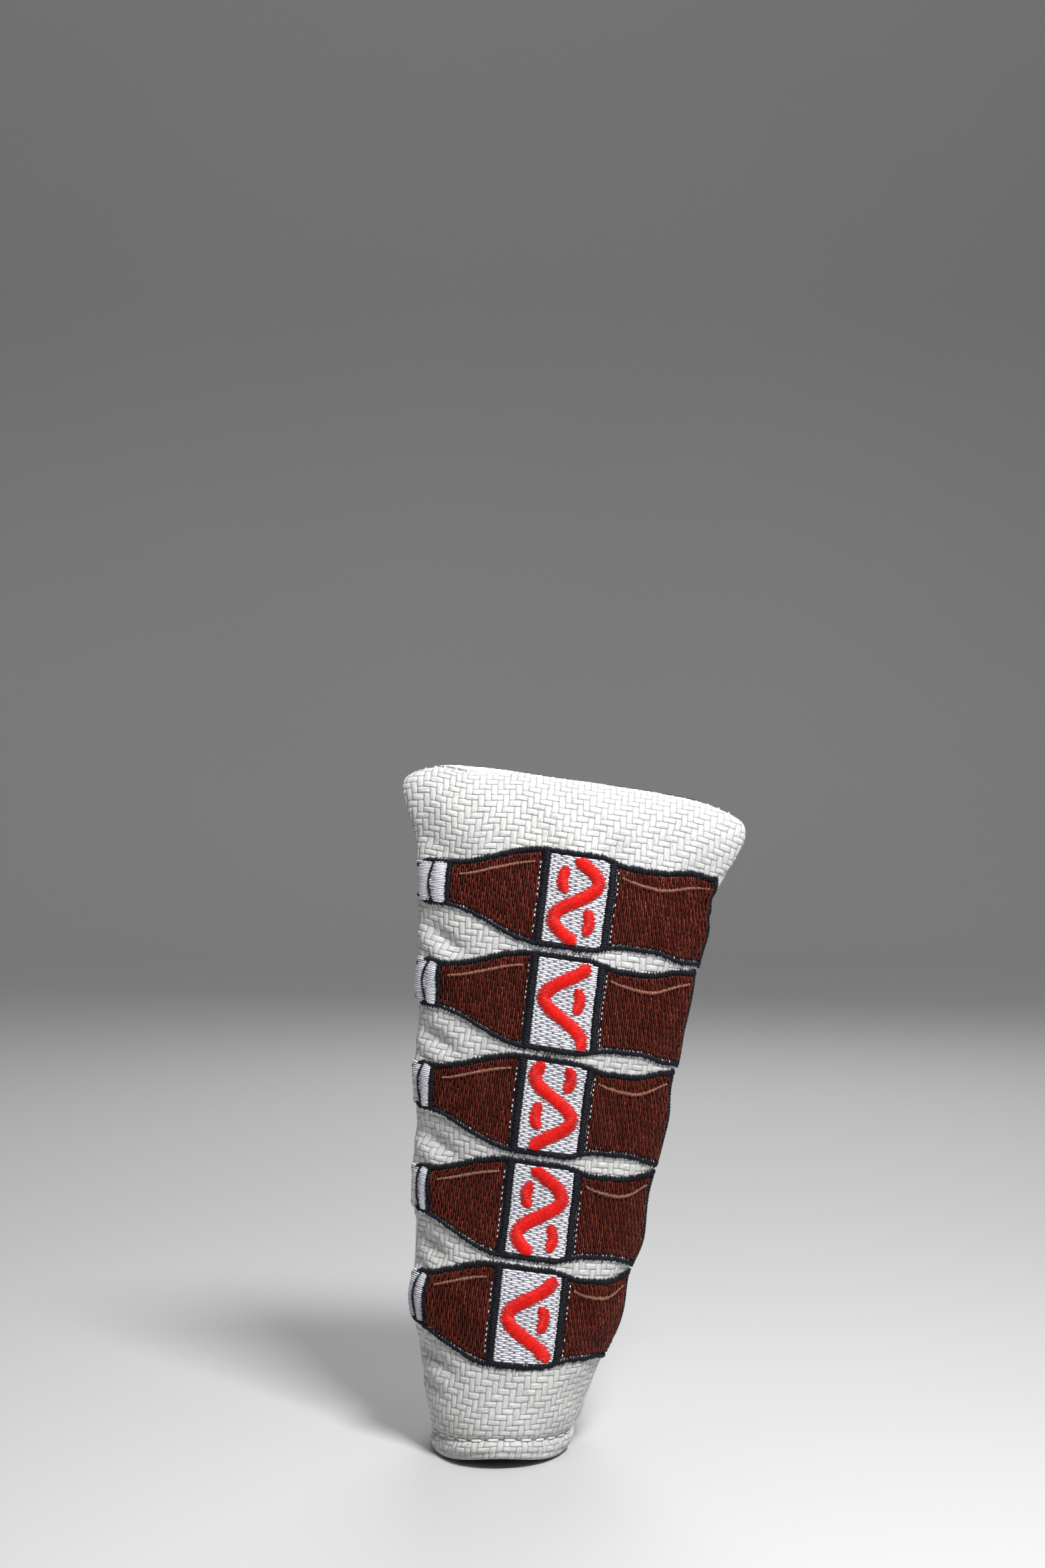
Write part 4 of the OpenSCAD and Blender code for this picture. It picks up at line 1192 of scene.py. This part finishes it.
# The red ornament: each label shows its own stretch of one wave, with a leaf in each bend
top_station = bottle_station(0)
for i in range(BOTTLES):
    station = bottle_station(i)
    w = np.linspace(station - LABEL_RADIUS + 0.7, station + LABEL_RADIUS - 0.7, 160)
    s = LABEL_PLACE + WAVE_REACH * np.sin(2 * math.pi * (w - top_station) / WAVE_LEN)
    ribbons.append(satin_path(on_front, s, w, RIBBON + 0.2, 0.75, 700 + i))
    first = math.ceil(2 * (station - LABEL_RADIUS - top_station) / WAVE_LEN - 0.5)
    for k in range(first, first + 5):
        bend = top_station + (k + 0.5) * WAVE_LEN / 2
        if abs(bend - station) < LABEL_RADIUS - LEAF_HALF - 0.3:
            side = math.copysign(1, math.sin(2 * math.pi * (bend - top_station) / WAVE_LEN))
            q = np.linspace(-LEAF_HALF, LEAF_HALF, 30)
            leaf_s = LABEL_PLACE - side * (2.4 + 1.0 * (1 - (q / LEAF_HALF) ** 2))
            ribbons.append(satin_path(on_front, leaf_s, bend + q, LEAF_WIDTH, 0.7, 750 + 10 * i + k))

joined_piece("bottle_fill_thread", brown, "brown_thread")
joined_piece("bottle_outline_thread", black, "black_thread")
joined_piece("bottle_highlight_thread", tan, "tan_thread")
joined_piece("cap_thread", caps, "white_thread")
joined_piece("label_thread", labels, "white_thread")
joined_piece("label_ornament_thread", ribbons, "red_thread")


# ---- Stitching ----

def rope(points, radius, sides=8, tag=0.5):
    """A closed tube through points (n, 3), thinner at both ends."""
    points = np.asarray(points, float)
    n = len(points)
    along = np.gradient(points, axis=0)
    along /= np.linalg.norm(along, axis=1, keepdims=True)
    guess = np.array([0.0, 0.0, 1.0]) if abs(along[:, 2]).max() < 0.9 else np.array([0.0, 1.0, 0.0])
    side = np.cross(along, guess)
    side /= np.linalg.norm(side, axis=1, keepdims=True)
    up = np.cross(side, along)
    t = np.linspace(0, 1, n)
    r = radius * np.clip(np.minimum(t, 1 - t) * 8, 0.05, 1) ** 0.5
    turn = np.linspace(0, 2 * math.pi, sides, endpoint=False)
    ring = (points[:, None] + side[:, None] * (np.cos(turn)[None, :, None] * r[:, None, None])
            + up[:, None] * (np.sin(turn)[None, :, None] * r[:, None, None]))
    far = np.concatenate([[0], np.cumsum(np.linalg.norm(np.diff(points, axis=0), axis=1))])
    info = np.stack(np.broadcast_arrays(far[:, None], (turn / math.pi)[None, :], np.full((1, 1), tag)), -1)
    k = np.arange(sides)
    nxt = (k + 1) % sides
    quads = np.concatenate([np.stack([a + k, a + sides + k, a + sides + nxt, a + nxt], 1)
                            for a in range(0, (n - 1) * sides, sides)])
    caps_faces = [k[None, :], (n - 1) * sides + k[::-1][None, :]]
    return ring.reshape(-1, 3), [quads] + caps_faces, info.reshape(-1, 3)


def stitch_row(surface, s, w, count, radius, lift, gap=0.10):
    """Running stitches along the path (s, w), each diving into the leather at both ends."""
    parts = []
    length = np.concatenate([[0], np.cumsum(np.hypot(np.diff(s), np.diff(w)))])
    cuts = np.linspace(0, length[-1], count + 1)
    rng = np.random.default_rng(count)
    for k in range(count):
        step = cuts[k + 1] - cuts[k]
        t = np.linspace(cuts[k] + step * gap, cuts[k + 1] - step * gap, 11)
        share = np.linspace(0, 1, 11)
        dive = lift - 0.7 * (1 - np.clip(np.minimum(share, 1 - share) * 6, 0, 1) ** 0.6)
        off = rng.uniform(-0.05, 0.05, 2)
        parts.append(rope(surface(np.interp(t, length, w) + off[0] + (off[1] - off[0]) * share,
                                  np.interp(t, length, s), dive), radius, tag=rng.uniform()))
    return parts


hem_end = float(panel_half(HEM_STITCH)) - 1.5
s = np.linspace(-hem_end, hem_end, 200)
count = round(2 * hem_end / HEM_PITCH)
joined_piece("front_hem_stitching", stitch_row(on_front, s, HEM_STITCH + 0 * s, count, 0.3, 0.3, 0.14),
             "sewing_thread")
back_end = float(panel_half(HEM_STITCH, BACK)) - 1.5
strip_end = float(arc_at(HEM_STITCH, -HINGE_ANGLE)) + STRIP_WIDTH + 1.5
s = np.linspace(-back_end, -strip_end, 200)
count = round((back_end - strip_end) / HEM_PITCH)
joined_piece("back_hem_stitching", stitch_row(on_back, s, HEM_STITCH + 0 * s, count, 0.22, 0.28),
             "sewing_thread")

# Short ladder stitches that draw the panels together along the top
top = []
for angle in np.degrees(np.arcsin(np.linspace(-0.90, 0.90, 27))):
    s_at = float(arc_at(COVER_LEN - 2, angle))
    shift = float(seam_shift(s_at))
    ends = []
    for half, station in ((FRONT, COVER_LEN - shift - 0.32), (BACK, COVER_LEN + shift - 0.32)):
        over = station > COVER_LEN
        folded = 2 * COVER_LEN - station if over else station
        sink = float(puff(half, COVER_LEN - 0.32, s_at, panel_half(COVER_LEN - 0.32, half)))
        p = skin(half, folded, angle, -sink)
        p[1] *= -1 if over else 1
        ends.append(p)
    t = np.linspace(0, 1, 9)[:, None]
    path = ends[0] + (ends[1] - ends[0]) * (t * 1.1 - 0.05)
    path[:, 2] += 0.34 * np.sin(math.pi * t[:, 0]) - 0.2
    top.append(rope(path, SEAM_THREAD, tag=(angle * 0.37) % 1))
joined_piece("top_seam_stitching", top, "sewing_thread")


# ---- Flap and its strip ----

def free_edge(w, inset):
    near = np.minimum(w - FLAP_START, FLAP_END - w) - inset
    r = FLAP_CORNER - inset
    back_off = np.where(near >= r, 0, r - np.sqrt(np.maximum(0, r * r - (r - near) ** 2)))
    tongue = TONGUE_ANGLE * (1 - smooth((w - FLAP_START) / TONGUE_HEIGHT))
    return arc_at(w, FREE_ANGLE + tongue) - inset - back_off


def flap_stations(inset, count):
    """Stations of the flap, closer together round its corners."""
    t = np.linspace(0, 1, count)
    t = 0.5 - 0.5 * np.cos(math.pi * t) * (0.55 + 0.45 * np.abs(np.cos(math.pi * t)))
    t = (t - t[0]) / (t[-1] - t[0])
    return FLAP_START + inset + (FLAP_LEN - 2 * inset) * t


def flap_out(w, s):
    p = np.stack([s, w], -1)
    return 0.12 * ripple(p, 17, 91) + 0.05 * ripple(p, 6, 92)


def flap_margin(w, s):
    """The distance from a place on the flap to its nearest free edge."""
    return np.minimum(np.minimum(w - FLAP_START, FLAP_END - w), free_edge(w, 0) - s)


def flap_pinch(w, s):
    """How far the leather and the facing close on each other at the flap's free edges."""
    return 0.8 * (1 - smooth(flap_margin(w, s) / 2.3))


def on_flap(w, s, lift=0.0):
    w, s = np.broadcast_arrays(np.asarray(w, float), np.asarray(s, float))
    return skin(BACK, w, angle_at(w, s), FLAP_TOP + flap_pinch(w, s) - flap_out(w, s) * 0.6 - lift)


def flap_leather():
    """The sewn strip and the flap are one piece of leather, stepped up at the hinge."""
    stations = flap_stations(0, 110)[None, :]
    columns = 150
    sewn = np.linspace(0, 1, 26)[:, None]
    flap = np.linspace(0, 1, columns - 26)[1:, None]
    hinge_s = arc_at(stations, HINGE_ANGLE)
    strip_s = -arc_at(stations, STRIP_ANGLE) - STRIP_WIDTH
    s = np.concatenate([strip_s + (hinge_s - strip_s) * sewn,
                        hinge_s + (free_edge(stations, 0) - hinge_s) * flap])
    w = stations + 0 * s
    # Depth of the outer face: low on the strip, high on the flap, with a soft step at the hinge
    rise = smooth((s - hinge_s + 2.6) / 3.0)
    strip_face = -(STRIP_GAP + LEATHER)
    face = strip_face + (FLAP_TOP - strip_face) * rise
    soft = flap_out(w, s)
    edge = flap_margin(w, s)
    pad = 0.3 * smooth(edge / 4) * smooth((s - hinge_s) / 3)
    groove = 0.35 * bump(edge, FLAP_ROW, 0.55) * smooth((s - hinge_s) / 2)
    for share in STRIP_ROWS:
        groove = groove + 0.28 * bump(s, -arc_at(w, STRIP_ANGLE) - STRIP_WIDTH * share, 0.5)
    lift = soft * 0.6 + pad * 0.5 - groove
    out = puff(BACK, w, s, panel_half(w, BACK)) * (1 - rise)
    face = face + flap_pinch(w, s) * rise
    outer = skin(BACK, w, angle_at(w, s), face - lift - np.maximum(out, 0))
    inner = skin(BACK, w, angle_at(w, s),
                 face + LEATHER - 0.03 - np.maximum(out, 0) - np.minimum(lift, 0) * 0.5)
    cloth = np.stack([s, w, 0 * s], -1)
    obj = shell("closure_flap", outer, inner, cloth, flip=True, steps=3, bulge=0.42)
    finish_piece(obj, "smooth_leather", None, "closure_flap", "flap_seam_strip")
    middle = (FLAP_START + FLAP_END) / 2
    hinge_at = arc_at(middle, HINGE_ANGLE)
    a = skin(BACK, middle, angle_at(middle, hinge_at - 2.4), FLAP_TOP)
    b = skin(BACK, middle, angle_at(middle, hinge_at + 2.4), FLAP_TOP)
    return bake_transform(obj, "cover", "flap", start=tuple(a * MM), end=tuple(b * MM))


def flap_layer(name, outer_depth, inner_depth, inset, share, from_angle, slot):
    stations = flap_stations(inset, 60)[None, :]
    from_s = arc_at(stations, from_angle)
    s = from_s + (free_edge(stations, inset) - from_s) * np.linspace(0, 1, 70)[:, None] * share
    w = stations + 0 * s
    soft = 0.03 * ripple(np.stack([s, w], -1), 8, 95)
    closing = flap_pinch(w, s)
    outer = skin(BACK, w, angle_at(w, s), outer_depth + soft + 0.03 - closing)
    inner = skin(BACK, w, angle_at(w, s), inner_depth + soft - 0.03 - closing)
    obj = shell(name, outer, inner, np.stack([s, w, 0 * s], -1), flip=True, steps=2, bulge=0.3)
    return finish_piece(obj, slot, "flap", name)


flap_leather()
flap_layer("flap_facing", -FLAP_GAP - FACING, -FLAP_GAP, 0.3, 1.0, HINGE_ANGLE, "facing_cloth")
core_middle = (-FLAP_GAP - FACING + FLAP_FOOT) / 2
core = flap_layer("flap_core", core_middle - 0.55, core_middle + 0.55, 2.5, 0.5, HINGE_ANGLE + 3, "foam")

w = np.linspace(FLAP_START + 3, FLAP_END - 3, 200)
count = round((FLAP_LEN - 6) / FLAP_PITCH)
joined_piece("flap_edge_stitching", stitch_row(on_flap, free_edge(w, FLAP_ROW), w, count, SEAM_THREAD, 0.0),
             "sewing_thread", "flap")


def on_strip(w, s, lift=0.0):
    out = np.maximum(puff(BACK, w, s, panel_half(w, BACK)), 0)
    return skin(BACK, w, angle_at(w, s), -(STRIP_GAP + LEATHER) - out - lift)


w = np.linspace(FLAP_START + 2, FLAP_END - 2, 200)
count = round((FLAP_LEN - 4) / FLAP_PITCH)
seam = []
for share in STRIP_ROWS:
    s = -arc_at(w, STRIP_ANGLE) - STRIP_WIDTH * share
    seam += stitch_row(on_strip, s, w, count, SEAM_THREAD, 0.02)
joined_piece("flap_seam_stitching", seam, "sewing_thread")

w = np.linspace(FLAP_START + 9, FLAP_END - 9, 400)
share = (w - w[0]) / (w[-1] - w[0])
middle_s = arc_at(w, (HINGE_ANGLE + FREE_ANGLE) / 2 + 4)
s = middle_s + 5 * np.sin(math.pi * FLAP_LEAVES * share)
flap_ornament = [satin_path(on_flap, s, w, RIBBON, 0.35, 900)]
for k in range(FLAP_LEAVES):
    at = (k + 0.5) / FLAP_LEAVES
    side = 1 if k % 2 == 0 else -1
    bend = w[0] + at * (w[-1] - w[0])
    q = np.linspace(-FLAP_LEAF_HALF, FLAP_LEAF_HALF, 30)
    place_s = np.interp(bend, w, middle_s) - side * (0.4 + 0.8 * (1 - (q / FLAP_LEAF_HALF) ** 2))
    flap_ornament.append(satin_path(on_flap, place_s, bend + q, 2.0, 0.33, 910 + k))
joined_piece("flap_ornament_thread", flap_ornament, "red_thread", "flap")


# ---- Slit binding ----

def tape():
    """Tape down both sides of the slit, with a short piece across its top."""
    parts = []
    inner_depth = BACK_LINING_DEPTH + PLUSH
    clear = 0.5
    wide = 1.4

    def block(angle_a, angle_b, w_a, w_b, nu, nv):
        angle = np.linspace(angle_a, angle_b, nu)[:, None] + np.zeros((1, nv))
        w = np.linspace(w_a, w_b, nv)[None, :] + 0 * angle
        fray = 0.05 * ripple(np.stack([angle * 5, w], -1), 1.5, 97)
        upper = skin(BACK, w, angle, fray)
        lower = skin(BACK, w, angle, inner_depth)
        n = nu * nv
        faces = [grid_faces(nu, nv, 0, True), grid_faces(nu, nv, n)]
        loop, nxt = rim(nu, nv)
        faces.append(np.stack([loop, nxt, nxt + n, loop + n], 1))
        info = np.stack([angle.ravel() * 0.35, w.ravel(), np.zeros(n)], -1)
        points = np.concatenate([upper.reshape(-1, 3), lower.reshape(-1, 3)])
        return points, faces, np.concatenate([info, info])

    top_w = SLIT_END - 0.5 - 0.36
    parts.append(block(SLIT_FROM + clear, SLIT_FROM + clear + wide, LINING_START, top_w, 4, 160))
    parts.append(block(SLIT_TO - clear - wide, SLIT_TO - clear, LINING_START, top_w, 4, 160))
    parts.append(block(SLIT_FROM + clear, SLIT_TO - clear, SLIT_END - 0.68, SLIT_END - 0.18, 12, 4))
    return joined_piece("slit_binding", parts, "binding_tape")


tape()

for name in ("body_magnets", "flap_magnets"):
    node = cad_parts[name]
    for slot in node.material_slots:
        slot.material = PAINTS["magnet"].material
    if not node.material_slots:
        node.data.materials.append(PAINTS["magnet"].material)


# ---- Floor, light and camera ----

def studio_floor():
    """A pale floor that curves up into a wall far behind the object."""
    bend, wall, reach = 700.0, 1300.0, 4000.0
    turn = np.linspace(0, math.pi / 2, 24)
    y = np.concatenate([[-reach], wall + bend * np.sin(turn), [wall + bend]])
    z = np.concatenate([[0], bend * (1 - np.cos(turn)), [reach]]) - 0.05
    x = np.array([-reach, reach])[:, None] + 0 * y[None, :]
    points = np.stack([x, y[None, :] + 0 * x, z[None, :] + 0 * x], -1)
    obj = make_object("floor", points, [grid_faces(*x.shape)])
    paint = Paint("floor", Roughness=0.6, Specular_IOR_Level=0.3)
    slow = paint.noise(3.0)
    paint.colour(paint.mix(slow, (0.50, 0.50, 0.50), (0.53, 0.53, 0.53)))
    paint.give(obj)
    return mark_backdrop(obj)


studio_floor()


def area_light(name, location, target, size, power):
    data = bpy.data.lights.new(name, "AREA")
    data.shape = "RECTANGLE"
    data.size, data.size_y = size
    data.energy = power
    obj = bpy.data.objects.new(name, data)
    bpy.context.scene.collection.objects.link(obj)
    obj.location = location
    direction = np.array(target, float) - np.array(location, float)
    obj.rotation_euler = Vector(direction).to_track_quat("-Z", "Y").to_euler()
    return obj


middle = (0.01, 0.0, 0.10)
area_light("key", (0.15, -0.27, 0.46), middle, (0.13, 0.11), 3.8)
area_light("left", (-0.70, -0.30, 0.30), middle, (0.35, 0.5), 0.15)
area_light("right", (0.75, -0.20, 0.25), middle, (0.35, 0.5), 0.3)
area_light("behind", (0.1, 0.6, 0.55), middle, (0.4, 0.4), 2.0)
area_light("ceiling", (0.0, 0.6, 2.6), (0.0, 0.7, 0.0), (3.0, 2.6), 20.0)
world = bpy.data.worlds.new("studio")
world.use_nodes = True
background = world.node_tree.nodes["Background"]
background.inputs["Color"].default_value = (0.94, 0.96, 1.0, 1)
background.inputs["Strength"].default_value = 0.12
bpy.context.scene.world = world

# The camera is level, near the height of the closed end, and 0.48 m in front of the object's middle
CAMERA_PLACE = (0.005, -0.479, 0.1447)
LENS = 50.0
SENSOR_HEIGHT = 36.0
camera_data = bpy.data.cameras.new("camera")
camera_data.sensor_fit = "VERTICAL"
camera_data.sensor_height = SENSOR_HEIGHT
camera_data.lens = LENS
camera = bpy.data.objects.new("camera", camera_data)
camera.location = CAMERA_PLACE
camera.rotation_euler = (math.radians(90), 0, 0)
bpy.context.scene.collection.objects.link(camera)
bpy.context.scene.camera = camera
bpy.context.scene.view_settings.view_transform = "Standard"

bpy.context.view_layer.update()
